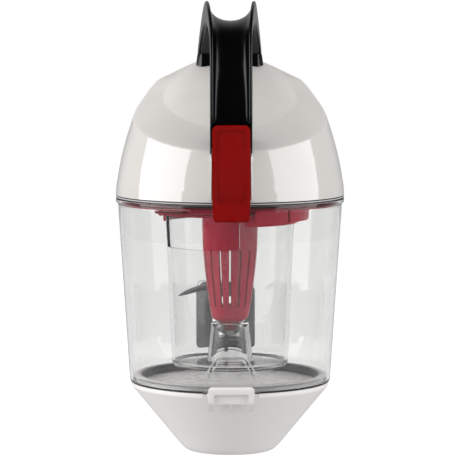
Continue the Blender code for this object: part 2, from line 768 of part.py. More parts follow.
def carry_handle():
    """Channel that opens outward, bent over the lid, with a solid foot at each end."""
    widths = ((16.0, 24.4), (33.0, 23.3), (51.0, 21.3), (70.0, 19.4), (90.0, 18.0),
              (110.0, 16.6), (130.0, 15.1), (160.0, 14.8), (230.0, 14.8))
    depths = ((16.0, 12.0), (90.0, 17.0), (150.0, 14.0), (180.0, HANDLE_DEPTH), (230.0, 12.0))
    rings = []
    for turn in (204.6, 192, 180, 168, 156, 144, 132, 120, 108, 96, 84, 72, 60, 48, 36, 24, 18):
        place, inward = arch_frame(turn)
        half = interpolate(widths, turn)
        depth = interpolate(depths, turn)
        inner = half - HANDLE_FLANGE
        foot = inner - 2.0
        section = ((-half, 0), (-inner, 0), (-foot, depth - HANDLE_FLOOR),
                   (foot, depth - HANDLE_FLOOR), (inner, 0), (half, 0),
                   (half, depth - 2.0), (half - 2.0, depth), (-half + 2.0, depth),
                   (-half, depth - 2.0))
        rings.append([place + Vector((x, 0, 0)) + inward * deep for x, deep in section])
    obj = loft("carry_handle", rings, BLACK)
    rear = ((-21.6, 15.0), (21.6, 15.0), (24.4, 19.0), (24.4, 39.0), (-24.4, 39.0),
            (-24.4, 19.0))
    join(obj, plates("rear_foot", rear, ((255, 287),), "z"))
    front = ((-72.5, 214.0), (-72.5, 244.0), (-69.6, 244.0), (-63.5, 233.5), (-60.5, 229.5),
             (-60.5, 214.0))
    join(obj, plates("front_foot", front, ((-14.2, 14.2),), "x"))
    cut(obj, cover_solid("cover_clearance", LARGE, 0.5, 20.0))
    pocket = (-LEVER_HALF - GAP, -90.0, 190.0), (LEVER_HALF + GAP, -72.0, 241.0)
    cut(obj, boxes("lever_pocket", (pocket,)))
    cut(obj, rods("handle_screw_bores", [((x, y, low), (x, y, high - 6))
                                         for x, y, low, high in handle_screw_places()],
                  SCREW_BORE, SMALL))
    return obj


def lid_gasket():
    turned("lid_gasket", ((79.0, 187.6), (79.0, 185.55), (76.4, 185.55), (76.4, 187.6)),
           LARGE, RUBBER)


def outlet_grille():
    """Barred insert in the outlet opening."""
    half_width = OUTLET_WIDTH / 2 - GAP
    half_height = OUTLET_HEIGHT / 2 - GAP
    obj = boxes("outlet_grille", (((-half_width, 81.0, OUTLET_Z - half_height),
                                   (half_width, 83.8, OUTLET_Z + half_height)),), GREY)
    holes = []
    for column in range(6):
        x = -half_width + 2.0 + column * 8.0
        holes.append(((x, 75, OUTLET_Z - half_height + 2.0),
                      (x + 5.3, 90, OUTLET_Z + half_height - 2.0)))
    cut(obj, boxes("grille_holes", holes))


def outlet_seal():
    outer_width = OUTLET_WIDTH / 2 + OUTLET_BORDER - 1.0
    outer_height = OUTLET_HEIGHT / 2 + OUTLET_BORDER - 1.0
    face = OUTLET_FACE_Y + GAP
    obj = boxes("outlet_seal", (((-outer_width, face, OUTLET_Z - outer_height),
                                 (outer_width, face + 2.0, OUTLET_Z + outer_height)),), RUBBER)
    half_width = OUTLET_WIDTH / 2 + 0.5
    half_height = OUTLET_HEIGHT / 2 + 0.5
    cut(obj, boxes("outlet_seal_hole", (((-half_width, 80, OUTLET_Z - half_height),
                                         (half_width, 90, OUTLET_Z + half_height)),)))


def lid_release_lever():
    """Sprung lever: thumb plate above, finger lip and hook nose below its pin."""
    _, axis_y, axis_z = LEVER_AXIS
    side = ((-80.6, 240.0), (-85.6, axis_z), (-87.4, 187.0), (-91.4, 174.6), (-90.6, 173.0),
            (-88.9, 173.2), (-86.4, 178.0), (-84.0, 176.0), (-83.0, 176.6), (-83.0, 178.0),
            (-85.0, 184.5), (-82.9, axis_z - 6), (-82.9, axis_z + 6), (-78.2, 240.0))
    obj = plates("lid_release_lever", side, ((-LEVER_HALF, LEVER_HALF),), "x", RED)
    join(obj, rods("lever_bosses", (((-12.9, axis_y, axis_z), (-5, axis_y, axis_z)),
                                    ((5, axis_y, axis_z), (12.9, axis_y, axis_z))),
                   2.1, SMALL))
    panel = 9.7
    cut(obj, boxes("lever_panel", (((-panel, -95, 187.5), (panel, -86.3, 236.0)),)))
    cut(obj, rods("lever_bore", (((-20, axis_y, axis_z), (20, axis_y, axis_z)),),
                  SMALL_PIN_RADIUS + GAP, SMALL))
    return obj


# ---------------------------------------------------------------- bottom door

def bottom_door():
    rim_inner = DOOR_RIM_RADIUS - DOOR_WALL
    obj = turned("bottom_door", (
        (0, DOOR_WALL), (DOOR_FLAT_RADIUS - 1.0, DOOR_WALL),
        (DOOR_BASE_RADIUS - 2.6, DOOR_SLOPE_BOTTOM + 1.6), (rim_inner, 46.4),
        (rim_inner, DOOR_RIM_TOP), (DOOR_RIM_RADIUS, DOOR_RIM_TOP),
        (DOOR_RIM_RADIUS, DOOR_SLOPE_TOP), (DOOR_BASE_RADIUS, DOOR_SLOPE_BOTTOM),
        (34.6, 2.2), (DOOR_FLAT_RADIUS, 0), (0, 0)), LARGE, WHITE)
    core = turned("door_core", (
        (0, 55), (DOOR_RIM_RADIUS - 1.0, 55), (DOOR_RIM_RADIUS - 1.0, 47.0),
        (DOOR_BASE_RADIUS - 1.2, DOOR_SLOPE_BOTTOM + 1.0), (0, DOOR_SLOPE_BOTTOM)), LARGE)
    _, axis_y, axis_z = DOOR_AXIS
    knuckle = [(66.0, 50.4), (66.0, 44.0), (74.0, 47.0)]
    knuckle += arc((axis_y, axis_z), KNUCKLE_RADIUS, 235, 525, 9) + [(73.2, 50.4)]
    ear = plates("door_knuckle", knuckle, ((-17.5, 17.5),), "x")
    _, latch_y, latch_z = LATCH_AXIS
    horn = [(-64.0, 44.0), (-64.0, 49.8), (-70.0, 49.8)]
    horn += arc((latch_y, latch_z), 1.8, 92, 268, 6)
    horns = plates("latch_horns", horn, ((-12.2, -9.0), (9.0, 12.2)), "x")
    for tool in (ear, horns):
        cut(tool, core)
        join(obj, tool)
    bosses = rods("door_screw_bosses", [((x, y, 20), (x, y, 47.9)) for x, y in
                                        floor_screw_places()], 4.2, SMALL)
    keep_inside(bosses, core)
    join(obj, bosses)
    cut(obj, rods("door_bores", (((-20, axis_y, axis_z), (20, axis_y, axis_z)),),
                  PIN_RADIUS + GAP, SMALL))
    cut(obj, rods("latch_bores", (((-13, latch_y, latch_z), (-8, latch_y, latch_z)),
                                  ((8, latch_y, latch_z), (13, latch_y, latch_z))),
                  SMALL_PIN_RADIUS + 0.3, SMALL + 2))
    cut(obj, rods("door_screw_bores", [((x, y, 37), (x, y, 49)) for x, y in
                                       floor_screw_places()], SCREW_BORE, SMALL))
    return obj


def floor_screw_places():
    return [polar(FLOOR_SCREW_CIRCLE, degrees) for degrees in FLOOR_SCREW_TURNS]


def door_floor_plate():
    obj = turned("door_floor_plate", (
        (0, 49.9), (69.0, 49.9), (69.0, 48.3), (0, 48.3)), LARGE, LIGHT_GREY)
    cut(obj, rods("floor_screw_bores", [((x, y, 46), (x, y, 52)) for x, y in
                                        floor_screw_places()], SCREW_BORE, SMALL))


def door_seal():
    turned("door_seal", ((67.6, 56.4), (70.2, 55.4), (68.0, 54.0), (68.0, 51.65),
                         (72.3, 51.65), (72.3, DOOR_RIM_TOP + GAP), (68.0, DOOR_RIM_TOP + GAP),
                         (68.0, 50.2), (64.0, 50.2), (64.0, 55.4), (65.4, 56.4)),
           LARGE, RUBBER)


def door_latch():
    """Sprung latch: a top bar and side walls round a shallow recess, ribs below it."""
    _, axis_y, axis_z = LATCH_AXIS
    side = ((-76.1, 56.1), (-77.9, 55.1), (-77.9, 44.8), (-73.4, 38.0), (-71.7, 38.0),
            (-76.3, 45.2), (-76.3, 50.4), (-74.4, 51.2), (-74.4, 56.1))
    obj = plates("door_latch", side, ((-LATCH_HALF, LATCH_HALF),), "x", WHITE)
    wall = ((-77.5, 51.0), (-77.5, 45.2), (-73.0, 38.4), (-70.6, 41.4), (-71.0, 48.4),
            (-74.6, 51.0))
    join(obj, plates("latch_walls", wall, ((-LATCH_HALF, -12.9), (12.9, LATCH_HALF)), "x"))
    cut(obj, boxes("latch_recess", (((-12.1, -85, 44.9), (12.1, -77.0, 51.0)),)))
    bays = ((-12.5, -8.0), (-6.0, -1.0), (1.0, 7.0), (9.0, 12.5))
    cut(obj, boxes("latch_bays", [((low, -85, 37), (high, -65, 44)) for low, high in bays]))
    cut(obj, rods("latch_pin_bore", (((-20, axis_y, axis_z), (20, axis_y, axis_z)),),
                  SMALL_PIN_RADIUS + GAP, SMALL))
    return obj


# ---------------------------------------------------------------- assembly

def make_axes():
    """One empty on each joint's axis; every moving part hangs from its own."""
    places = {"top_lift_axis": ((0, 0, BIN_TOP), None),
              "lid_hinge_axis": (LID_AXIS, "top_lift_axis"),
              "lid_release_axis": (LEVER_AXIS, "lid_hinge_axis"),
              "door_hinge_axis": (DOOR_AXIS, None),
              "door_latch_axis": (LATCH_AXIS, "door_hinge_axis")}
    axes = {}
    for name, (place, parent) in places.items():
        empty = bpy.data.objects.new(name, None)
        PARTS.objects.link(empty)
        empty.location = point(*place)
        if parent:
            hang(empty, axes[parent], places[parent][0])
        axes[name] = empty
    return axes, places


def hang(child, parent, parent_place):
    child.parent = parent
    child.matrix_parent_inverse = Matrix.Translation(-point(*parent_place))


def make_screws():
    for i, degrees in enumerate(GRILLE_SCREW_TURNS):
        x, y = polar(GRILLE_SCREW_CIRCLE, degrees)
        screw_fastener("grille_screw_%d" % (i + 1), (x, y, 172.9), 4.9)
    for i, (x, y) in enumerate(floor_screw_places()):
        screw_fastener("floor_screw_%d" % (i + 1), (x, y, 50.2), 11.0, up=False)
    for i, (x, y, low, high) in enumerate(handle_screw_places()):
        screw_fastener("handle_screw_%d" % (i + 1), (x, y, low - GAP), high - low - 8.0)


def build():
    dust_bin()
    inlet_seal()
    hinge_pin("door_hinge_pin", DOOR_AXIS, 26.5)
    separator_frame()
    cone_grille()
    cyclone_cup()
    cup_seal()
    cone_support()
    inlet_hood()
    swirl_vane()
    mouth_gasket()
    pleated_filter()
    filter_frame()
    foam_filter()
    hinge_pin("lid_hinge_pin", LID_AXIS, 19.5)
    top_cover()
    carry_handle()
    lid_gasket()
    outlet_grille()
    outlet_seal()
    lid_release_lever()
    hinge_pin("lever_pin", LEVER_AXIS, 14.6, SMALL_PIN_RADIUS)
    spring("lever_spring", LEVER_AXIS, 1.3, 0.3, 3.5, 7.0, 2.0)
    bottom_door()
    door_floor_plate()
    door_seal()
    door_latch()
    hinge_pin("latch_pin", LATCH_AXIS, 15.8, SMALL_PIN_RADIUS)
    spring("latch_spring", LATCH_AXIS, 1.3, 0.3, 3.5, 12.0, 2.0)
    make_screws()


ON_AXIS = {
    "top_lift_axis": ("separator_frame", "cone_grille", "cyclone_cup", "cup_seal",
                      "cone_support", "inlet_hood", "swirl_vane", "mouth_gasket",
                      "pleated_filter", "filter_frame", "foam_filter", "lid_hinge_pin",
                      "grille_screw_1", "grille_screw_2", "grille_screw_3"),
    "lid_hinge_axis": ("top_cover", "carry_handle", "lid_gasket", "outlet_grille",
                       "outlet_seal", "lever_pin", "lever_spring", "handle_screw_1",
                       "handle_screw_2", "handle_screw_3", "handle_screw_4"),
    "lid_release_axis": ("lid_release_lever",),
    "door_hinge_axis": ("bottom_door", "door_floor_plate", "door_seal", "latch_pin",
                        "latch_spring", "floor_screw_1", "floor_screw_2", "floor_screw_3"),
    "door_latch_axis": ("door_latch",),
}


def assemble():
    axes, places = make_axes()
    for axis, names in ON_AXIS.items():
        for name in names:
            hang(bpy.data.objects[name], axes[axis], places[axis][0])


build()
assemble()
bpy.context.view_layer.update()
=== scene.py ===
"""Looks of the vacuum cleaner's dust canister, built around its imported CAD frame."""

import json
import math

import bmesh
import bpy
from mathutils import Matrix, Vector


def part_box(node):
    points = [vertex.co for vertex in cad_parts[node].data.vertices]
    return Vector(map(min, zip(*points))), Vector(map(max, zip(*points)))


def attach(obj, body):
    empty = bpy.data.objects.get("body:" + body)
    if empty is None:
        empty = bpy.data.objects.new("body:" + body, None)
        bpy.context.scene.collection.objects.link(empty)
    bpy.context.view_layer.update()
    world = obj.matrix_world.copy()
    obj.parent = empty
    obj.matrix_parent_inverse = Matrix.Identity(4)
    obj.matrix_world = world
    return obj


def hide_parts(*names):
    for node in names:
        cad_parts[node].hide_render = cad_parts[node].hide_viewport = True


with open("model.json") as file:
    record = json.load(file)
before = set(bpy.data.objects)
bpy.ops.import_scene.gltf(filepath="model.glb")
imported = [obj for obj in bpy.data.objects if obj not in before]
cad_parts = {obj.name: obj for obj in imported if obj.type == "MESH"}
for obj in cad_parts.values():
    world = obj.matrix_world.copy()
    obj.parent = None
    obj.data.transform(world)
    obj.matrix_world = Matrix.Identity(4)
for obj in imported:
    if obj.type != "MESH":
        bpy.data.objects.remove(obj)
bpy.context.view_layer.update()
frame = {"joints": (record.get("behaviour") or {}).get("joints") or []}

MM = 0.001
SIDES = 144
SMALL_SIDES = 96
FEW_SIDES = 48
SHARP = 35
PIVOT = {j["name"]: Vector(j["pos_m"]) / MM for j in frame["joints"] if "pos_m" in j}


def node_box(node):
    """Lowest and highest corner of a CAD node, in millimetres."""
    low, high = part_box(node)
    return low / MM, high / MM


# Clearance between touching pieces, and bore radii for screws, hinge pins and small pins
GAP = 0.35
SCREW_BORE, HINGE_BORE, PIN_BORE = 1.75, 1.85, 1.15

# Driving sizes, in millimetres, read from the frame
BIN_HIGH = node_box("dust_bin")[1]
BIN_TOP, FLANGE_RADIUS = BIN_HIGH.z, BIN_HIGH.x
FLANGE_BOTTOM = BIN_TOP - 5.1
BIN_BOTTOM = PIVOT["door_hinge"].z + 1.0
BIN_TOP_RADIUS = FLANGE_RADIUS - 1.5
BIN_BOTTOM_RADIUS = FLANGE_RADIUS - 9.8
WALL = 2.0
SEAL_LOW, SEAL_HIGH = node_box("inlet_seal")
PORT_X = (SEAL_LOW.x + SEAL_HIGH.x) / 2
PORT_Z = (SEAL_LOW.z + SEAL_HIGH.z) / 2
PORT_FACE_Y = SEAL_LOW.y - GAP
PORT_HALF = 15.0
PORT_BOSS_HALF = 23.0
LID_BOTTOM = BIN_TOP + 2.5
OUT_LOW, OUT_HIGH = node_box("outlet_seal")
OUTLET_Z = (OUT_LOW.z + OUT_HIGH.z) / 2
OUTLET_FACE_Y = OUT_LOW.y - GAP
OUTLET_HALF = (25.0, 10.0)
OUTLET_BORDER = 5.0
CUP_LOW, CUP_HIGH = node_box("cyclone_cup")

# Lid outline: outer radius by height, and crease height by depth
DOME = ((LID_BOTTOM, 82.5), (193.0, 82.1), (194.2, 81.95), (195.4, 81.65), (200.0, 80.9),
        (206.0, 79.85), (213.0, 78.45), (220.0, 76.7), (227.0, 74.75), (234.0, 72.6),
        (241.0, 70.3), (248.0, 67.9), (254.0, 65.75), (261.6, 63.0), (267.4, 60.5),
        (268.5, 59.9), (269.6, 59.0), (281.0, 48.0), (284.0, 44.0))
CREASE = ((-84.0, 219.1), (-76.5, 221.3), (-42.7, 230.9), (-8.6, 241.3), (4.0, 246.8),
          (18.0, 255.6), (29.0, 267.4), (33.5, 270.0), (37.9, 274.0), (40.4, 278.0),
          (42.0, 281.0), (50.0, 284.0))
LID_WALL = 2.5

# Handle arch, an ellipse in the YZ plane
ARCH_Y, ARCH_Z, ARCH_REACH, ARCH_RISE = -21.0, 245.0, 60.0, 80.6

# Half widths of the red lever, of the cheeks beside it and of the white latch
LEVER_HALF, CHEEK_HALF, LATCH_HALF = 13.3, 14.9, 16.25


# ---------------------------------------------------------------- mesh helpers

def smooth(table, value):
    """Smooth (cubic) reading of a table of (value, result) pairs."""
    last = len(table) - 2
    index = 0
    while index < last and value > table[index + 1][0]:
        index += 1
    (x0, y0), (x1, y1) = table[index], table[index + 1]
    before = table[max(index - 1, 0)]
    after = table[min(index + 2, len(table) - 1)]
    slope0 = (y1 - before[1]) / (x1 - before[0])
    slope1 = (after[1] - y0) / (after[0] - x0)
    width = x1 - x0
    t = min(1.0, max(0.0, (value - x0) / width))
    return ((1 + 2 * t) * (1 - t) ** 2 * y0 + t * (1 - t) ** 2 * width * slope0
            + t * t * (3 - 2 * t) * y1 + t * t * (t - 1) * width * slope1)


def polar(radius, degrees):
    """A plan position: 0 degrees is the front, 90 the right side."""
    turn = math.radians(degrees)
    return radius * math.sin(turn), -radius * math.cos(turn)


def bend(start, corner, end, steps):
    """Points of a curve from start to end that leans towards corner."""
    points = []
    for k in range(steps + 1):
        t = k / steps
        points.append(start * (1 - t) ** 2 + corner * 2 * t * (1 - t) + end * t * t)
    return points


def rounded(corners, steps=4, closed=True):
    """Points of an outline whose corners (a, b, radius) are rounded off."""
    points = []
    count = len(corners)
    for i, (a, b, radius) in enumerate(corners):
        here = Vector((a, b))
        end = not closed and i in (0, count - 1)
        if radius <= 0 or end:
            points.append(here)
            continue
        before = Vector(corners[i - 1][:2]) - here
        after = Vector(corners[(i + 1) % count][:2]) - here
        reach = min(radius, before.length * 0.49, after.length * 0.49)
        points += bend(here + before.normalized() * reach, here,
                       here + after.normalized() * reach, steps)
    return [tuple(p) for p in points]


def rectangle(low, high, radius=0.0, steps=4):
    """Outline of an upright rectangle with rounded corners."""
    return rounded(((low[0], low[1], radius), (high[0], low[1], radius),
                    (high[0], high[1], radius), (low[0], high[1], radius)), steps)


def rectangle_at(centre, half, radius, steps=4):
    """The same rectangle, given by its centre and its half sizes."""
    return rectangle([c - h for c, h in zip(centre, half)],
                     [c + h for c, h in zip(centre, half)], radius, steps)


def mirrored(corners):
    """A symmetric outline from the (a, b, radius) corners of its right half."""
    left = [(-a, b, radius) for a, b, radius in corners]
    return left[:1] + list(corners) + left[:0:-1]


def arc(centre, radius, start, end, steps):
    """Points round a circle, from one angle to another in degrees."""
    points = []
    for i in range(steps + 1):
        turn = math.radians(start + (end - start) * i / steps)
        points.append((centre[0] + radius * math.cos(turn),
                       centre[1] + radius * math.sin(turn)))
    return points


def in_scene(name, data):
    obj = bpy.data.objects.new(name, data)
    bpy.context.scene.collection.objects.link(obj)
    return obj


def plain_object(name, bm):
    mesh = bpy.data.meshes.new(name)
    bm.to_mesh(mesh)
    bm.free()
    return in_scene(name, mesh)


def shade(mesh):
    """Shade smooth, except across edges that turn more than SHARP degrees."""
    mesh.shade_smooth()
    mesh.set_sharp_from_angle(angle=math.radians(SHARP))


def to_object(name, bm):
    """A cleaned and shaded object from a bmesh, which is used up."""
    bmesh.ops.remove_doubles(bm, verts=bm.verts, dist=1e-7)
    bmesh.ops.recalc_face_normals(bm, faces=bm.faces)
    obj = plain_object(name, bm)
    shade(obj.data)
    return obj


def lathe_mesh(profile, sides):
    """A turned solid. The profile is a closed loop, or runs from axis to axis."""
    bm = bmesh.new()
    rings = []
    for radius, z in profile:
        if radius < 1e-6:
            rings.append([bm.verts.new((0, 0, z * MM))])
            continue
        ring = []
        for i in range(sides):
            x, y = polar(radius, 360 * i / sides)
            ring.append(bm.verts.new((x * MM, y * MM, z * MM)))
        rings.append(ring)
    pairs = list(zip(rings, rings[1:]))
    if len(rings[0]) > 1:
        pairs.append((rings[-1], rings[0]))
    for first, second in pairs:
        for i in range(sides):
            j = (i + 1) % sides
            corners = [first[i % len(first)], first[j % len(first)],
                       second[j % len(second)], second[i % len(second)]]
            unique = list(dict.fromkeys(corners))
            if len(unique) > 2:
                bm.faces.new(unique)
    return bm


def graded(profile, reach, closed):
    """A profile whose long straight runs are split, so that shading stays even."""
    points = []
    ends = profile[1:] + profile[:1] if closed else profile[1:]
    for start, end in zip(profile, ends):
        run = Vector(end) - Vector(start)
        count = max(1, round(run.length / reach))
        points += [tuple(Vector(start) + run * k / count) for k in range(count)]
    return points if closed else points + [profile[-1]]


def lathe(name, profile, sides=SIDES):
    return to_object(name, lathe_mesh(profile, sides))


def turned(name, corners, steps=3, sides=SIDES, closed=True, reach=None):
    """A turned piece from its profile's corners, its long runs split where reach says so."""
    profile = rounded(corners, steps, closed)
    if reach:
        profile = graded(profile, reach, closed)
    return lathe(name, profile, sides)


def bridge(bm, lower, upper):
    """Faces between two rings that have as many points."""
    ahead = zip(lower, lower[1:] + lower[:1], upper[1:] + upper[:1], upper)
    return [bm.faces.new(corners) for corners in ahead]


def fan(bm, ring, tip):
    """Faces from a ring to one point."""
    return [bm.faces.new((here, ahead, tip)) for here, ahead in zip(ring, ring[1:] + ring[:1])]


def loft_mesh(rings, tip=None, cap=True):
    """Skin over a row of rings, closed by end faces and, where given, a tip."""
    bm = bmesh.new()
    loops = [[bm.verts.new(Vector(p) * MM) for p in ring] for ring in rings]
    for lower, upper in zip(loops, loops[1:]):
        bridge(bm, lower, upper)
    if cap:
        bm.faces.new(reversed(loops[0]))
    if tip is not None:
        fan(bm, loops[-1], bm.verts.new(Vector(tip) * MM))
    elif cap:
        bm.faces.new(loops[-1])
    return bm


def round_edges(bm, edges, width):
    bmesh.ops.bevel(bm, geom=edges, offset=width * MM, segments=3, profile=0.5,
                    affect="EDGES", clamp_overlap=True)


def prism_mesh(outline, low, high, across, bevel=0.0):
    """An outline made solid along X, Y or Z, with its edges rounded by bevel."""
    order = {"x": lambda a, b, c: (c, a, b), "y": lambda a, b, c: (a, c, b),
             "z": lambda a, b, c: (a, b, c)}[across]
    bm = bmesh.new()
    bottom = [bm.verts.new(Vector(order(a, b, low)) * MM) for a, b in outline]
    top = [bm.verts.new(Vector(order(a, b, high)) * MM) for a, b in outline]
    count = len(outline)
    bm.faces.new(bottom)
    bm.faces.new(reversed(top))
    for i in range(count):
        j = (i + 1) % count
        bm.faces.new((bottom[j], bottom[i], top[i], top[j]))
    bmesh.ops.recalc_face_normals(bm, faces=bm.faces)
    if bevel:
        ends = [e for e in bm.edges if (e.verts[0] in bottom) == (e.verts[1] in bottom)]
        round_edges(bm, ends, bevel)
    return bm


def prism(name, outline, low, high, across, bevel=0.0):
    return to_object(name, prism_mesh(outline, low, high, across, bevel))


def block(name, low, high, bevel=0.0):
    bm = prism_mesh(rectangle(low, high), low[2], high[2], "z")
    if bevel:
        round_edges(bm, bm.edges[:], bevel)
    return to_object(name, bm)


def rod(name, start, end, radius, sides=32, chamfer=0.0):
    """A round bar between two points, its ends chamfered or plain."""
    run = Vector(end) - Vector(start)
    length = run.length
    edges = [(radius, length), (radius, 0)]
    if chamfer:
        edges = [(radius - chamfer, length), (radius, length - chamfer), (radius, chamfer),
                 (radius - chamfer, 0)]
    bm = lathe_mesh([(0, length), *edges, (0, 0)], sides)
    turn = Vector((0, 0, 1)).rotation_difference(run).to_matrix().to_4x4()
    bmesh.ops.transform(bm, matrix=Matrix.Translation(Vector(start) * MM) @ turn,
                        verts=bm.verts)
    return to_object(name, bm)


def merged(name, objects):
    """Several separate meshes as one object; the originals are removed."""
    bm = bmesh.new()
    for obj in objects:
        bm.from_mesh(obj.data)
        discard(obj)
    return plain_object(name, bm)


def discard(obj):
    data = obj.data
    bpy.data.objects.remove(obj, do_unlink=True)
    if data.users == 0:
        bpy.data.meshes.remove(data)


def bake(obj, reshade=True):
    """Apply the object's modifiers to its mesh."""
    bpy.context.view_layer.update()
    graph = bpy.context.evaluated_depsgraph_get()
    mesh = bpy.data.meshes.new_from_object(obj.evaluated_get(graph))
    old = obj.data
    obj.modifiers.clear()
    obj.data = mesh
    bpy.data.meshes.remove(old)
    if reshade:
        shade(mesh)


def even_shading(obj):
    """Weight the normals by face size, so narrow cut faces leave no streaks."""
    obj.modifiers.new("even", "WEIGHTED_NORMAL").keep_sharp = True
    bake(obj, reshade=False)


def combine(obj, tool, operation, keep=False):
    change = obj.modifiers.new("change", "BOOLEAN")
    change.operation = operation
    change.solver = "MANIFOLD"
    change.object = tool
    bake(obj)
    if not keep:
        discard(tool)


def join(obj, tool):
    combine(obj, tool, "UNION")


def cut(obj, tool, keep=False):
    combine(obj, tool, "DIFFERENCE", keep)


def keep_inside(obj, tool, keep=False):
    combine(obj, tool, "INTERSECT", keep)


def soften(obj, width, angle=38, segments=3):
    """Round off an object's edges that are sharper than angle."""
    bevel = obj.modifiers.new("soft_edges", "BEVEL")
    bevel.width = width * MM
    bevel.segments = segments
    bevel.limit_method = "ANGLE"
    bevel.angle_limit = math.radians(angle)
    bake(obj)


def pin_bore(joint, radius, reach=20):
    """Cutter for a bore along a hinge's axis."""
    _, y, z = PIVOT[joint]
    return rod("bore", (-reach, y, z), (reach, y, z), radius)


def screw_bores(places):
    """Cutter for upright screw bores. Each place is x, y, lower and upper end."""
    return merged("bores", [rod("bore", (x, y, low), (x, y, high), SCREW_BORE)
                            for x, y, low, high in places])


def plan_centre(node):
    low, high = node_box(node)
    return (low.x + high.x) / 2, (low.y + high.y) / 2


def dress(obj, body, slot, node, *materials):
    """Give a finished piece its materials and body, and hide the CAD node it stands for."""
    if materials:
        obj.data.materials.clear()
        for material in materials:
            obj.data.materials.append(material)
    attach(obj, body)
    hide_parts(node)


# ---------------------------------------------------------------- materials

# Most of a noise texture's values lie between these two
NOISE_LOW, NOISE_HIGH = 0.3, 0.7


def new_material(name):
    material = bpy.data.materials.new(name)
    material.use_nodes = True
    nodes = material.node_tree.nodes
    return material, nodes, material.node_tree.links, nodes["Principled BSDF"]


def noise(nodes, links, scale, detail=3.0):
    place = nodes.new("ShaderNodeTexCoord")
    texture = nodes.new("ShaderNodeTexNoise")
    texture.inputs["Scale"].default_value = scale
    texture.inputs["Detail"].default_value = detail
    links.new(place.outputs["Object"], texture.inputs["Vector"])
    return texture


def spread(nodes, links, source, low, high):
    """Map a noise value to a range and return the socket."""
    ranged = nodes.new("ShaderNodeMapRange")
    ranged.inputs["From Min"].default_value = NOISE_LOW
    ranged.inputs["From Max"].default_value = NOISE_HIGH
    ranged.inputs["To Min"].default_value = low
    ranged.inputs["To Max"].default_value = high
    links.new(source, ranged.inputs["Value"])
    return ranged.outputs["Result"]


def colours(nodes, links, source, dark, light, start=0.0, end=1.0):
    """Fade from one colour to another and return the socket."""
    ramp = nodes.new("ShaderNodeValToRGB")
    for element, position, colour in zip(ramp.color_ramp.elements, (start, end), (dark, light)):
        element.position = position
        element.color = (*colour, 1)
    links.new(source, ramp.inputs["Fac"])
    return ramp.outputs["Color"]


def plastic(name, dark, light, rough, grain=900.0, bump=0.00002, metallic=0.0, coat=0.0,
            specular=0.5, patch=28.0):
    """Moulded plastic: slight colour drift, uneven gloss and a fine surface grain."""
    material, nodes, links, shader = new_material(name)
    drift = noise(nodes, links, patch)
    links.new(colours(nodes, links, drift.outputs["Fac"], dark, light, NOISE_LOW, NOISE_HIGH),
              shader.inputs["Base Color"])
    fine = noise(nodes, links, grain, 2.0)
    gloss = noise(nodes, links, patch * 4)
    links.new(spread(nodes, links, gloss.outputs["Fac"], rough[0], rough[1]),
              shader.inputs["Roughness"])
    relief = nodes.new("ShaderNodeBump")
    relief.inputs["Distance"].default_value = bump
    relief.inputs["Strength"].default_value = 0.6
    links.new(fine.outputs["Fac"], relief.inputs["Height"])
    links.new(relief.outputs["Normal"], shader.inputs["Normal"])
    shader.inputs["Metallic"].default_value = metallic
    shader.inputs["Coat Weight"].default_value = coat
    shader.inputs["Coat Roughness"].default_value = 0.05
    shader.inputs["Specular IOR Level"].default_value = specular
    return material


def clear_plastic(name, tint, rough):
    """Clear moulded plastic that lets the lamps' light through to what is behind it."""
    material, nodes, links, shader = new_material(name)
    shader.inputs["Base Color"].default_value = (*tint, 1)
    shader.inputs["Transmission Weight"].default_value = 1.0
    shader.inputs["IOR"].default_value = 1.4
    haze = noise(nodes, links, 60.0)
    links.new(spread(nodes, links, haze.outputs["Fac"], rough[0], rough[1]),
              shader.inputs["Roughness"])
    open_way = nodes.new("ShaderNodeBsdfTransparent")
    open_way.inputs["Color"].default_value = (*tint, 1)
    rays = nodes.new("ShaderNodeLightPath")
    mix = nodes.new("ShaderNodeMixShader")
    links.new(rays.outputs["Is Shadow Ray"], mix.inputs["Fac"])
    links.new(shader.outputs["BSDF"], mix.inputs[1])
    links.new(open_way.outputs["BSDF"], mix.inputs[2])
    links.new(mix.outputs["Shader"], nodes["Material Output"].inputs["Surface"])
    return material


WHITE = plastic("white_gloss", (0.665, 0.64, 0.615), (0.685, 0.66, 0.635), (0.05, 0.09),
                bump=0.000002, coat=1.0)
SATIN = plastic("white_satin", (0.64, 0.615, 0.59), (0.67, 0.645, 0.62), (0.32, 0.40),
                bump=0.00002)
CONE_WHITE = plastic("white_cone", (0.88, 0.855, 0.84), (0.895, 0.87, 0.855), (0.28, 0.31),
                     bump=0.000004)
BLACK = plastic("black_gloss", (0.0008, 0.001, 0.0015), (0.002, 0.0025, 0.004), (0.20, 0.26),
                bump=0.000006)
RED = plastic("red_lever", (0.23, 0.0, 0.0), (0.26, 0.0, 0.0), (0.20, 0.26),
              bump=0.000004, coat=0.2)
RED_INNER = plastic("red_inner", (0.35, 0.004, 0.026), (0.41, 0.006, 0.036), (0.25, 0.34),
                    bump=0.00001, specular=0.1)
GREY = plastic("grey_moulded", (0.055, 0.056, 0.06), (0.08, 0.08, 0.085), (0.36, 0.46))
LIGHT_GREY = plastic("light_grey_moulded", (0.83, 0.83, 0.83), (0.85, 0.85, 0.85), (0.26, 0.3),
                     bump=0.000004)
# Black rubber; on the door seal's flange it is also a painted shadow line for the gap under the
# bin
RUBBER_AND_GAP_SHADOW = plastic("rubber", (0.012, 0.012, 0.013), (0.028, 0.028, 0.03), (0.5, 0.65),
                 grain=1500.0, bump=0.00004)
# Pale rubber; on the door seal it is also the painted lit colour of the faces that do not turn
# inwards
SEAL_PALE_AND_LIT = plastic("seal_rubber_pale_and_lit", (0.50, 0.50, 0.50), (0.56, 0.56, 0.56), (0.3, 0.4),
                    bump=0.00001)
SEAL_RED = plastic("seal_rubber_red", (0.24, 0.003, 0.018), (0.28, 0.004, 0.024), (0.4, 0.5),
                   specular=0.1)
LATCH_WHITE = plastic("white_latch", (0.80, 0.78, 0.765), (0.82, 0.80, 0.785), (0.16, 0.22),
                      bump=0.000002, coat=0.3)
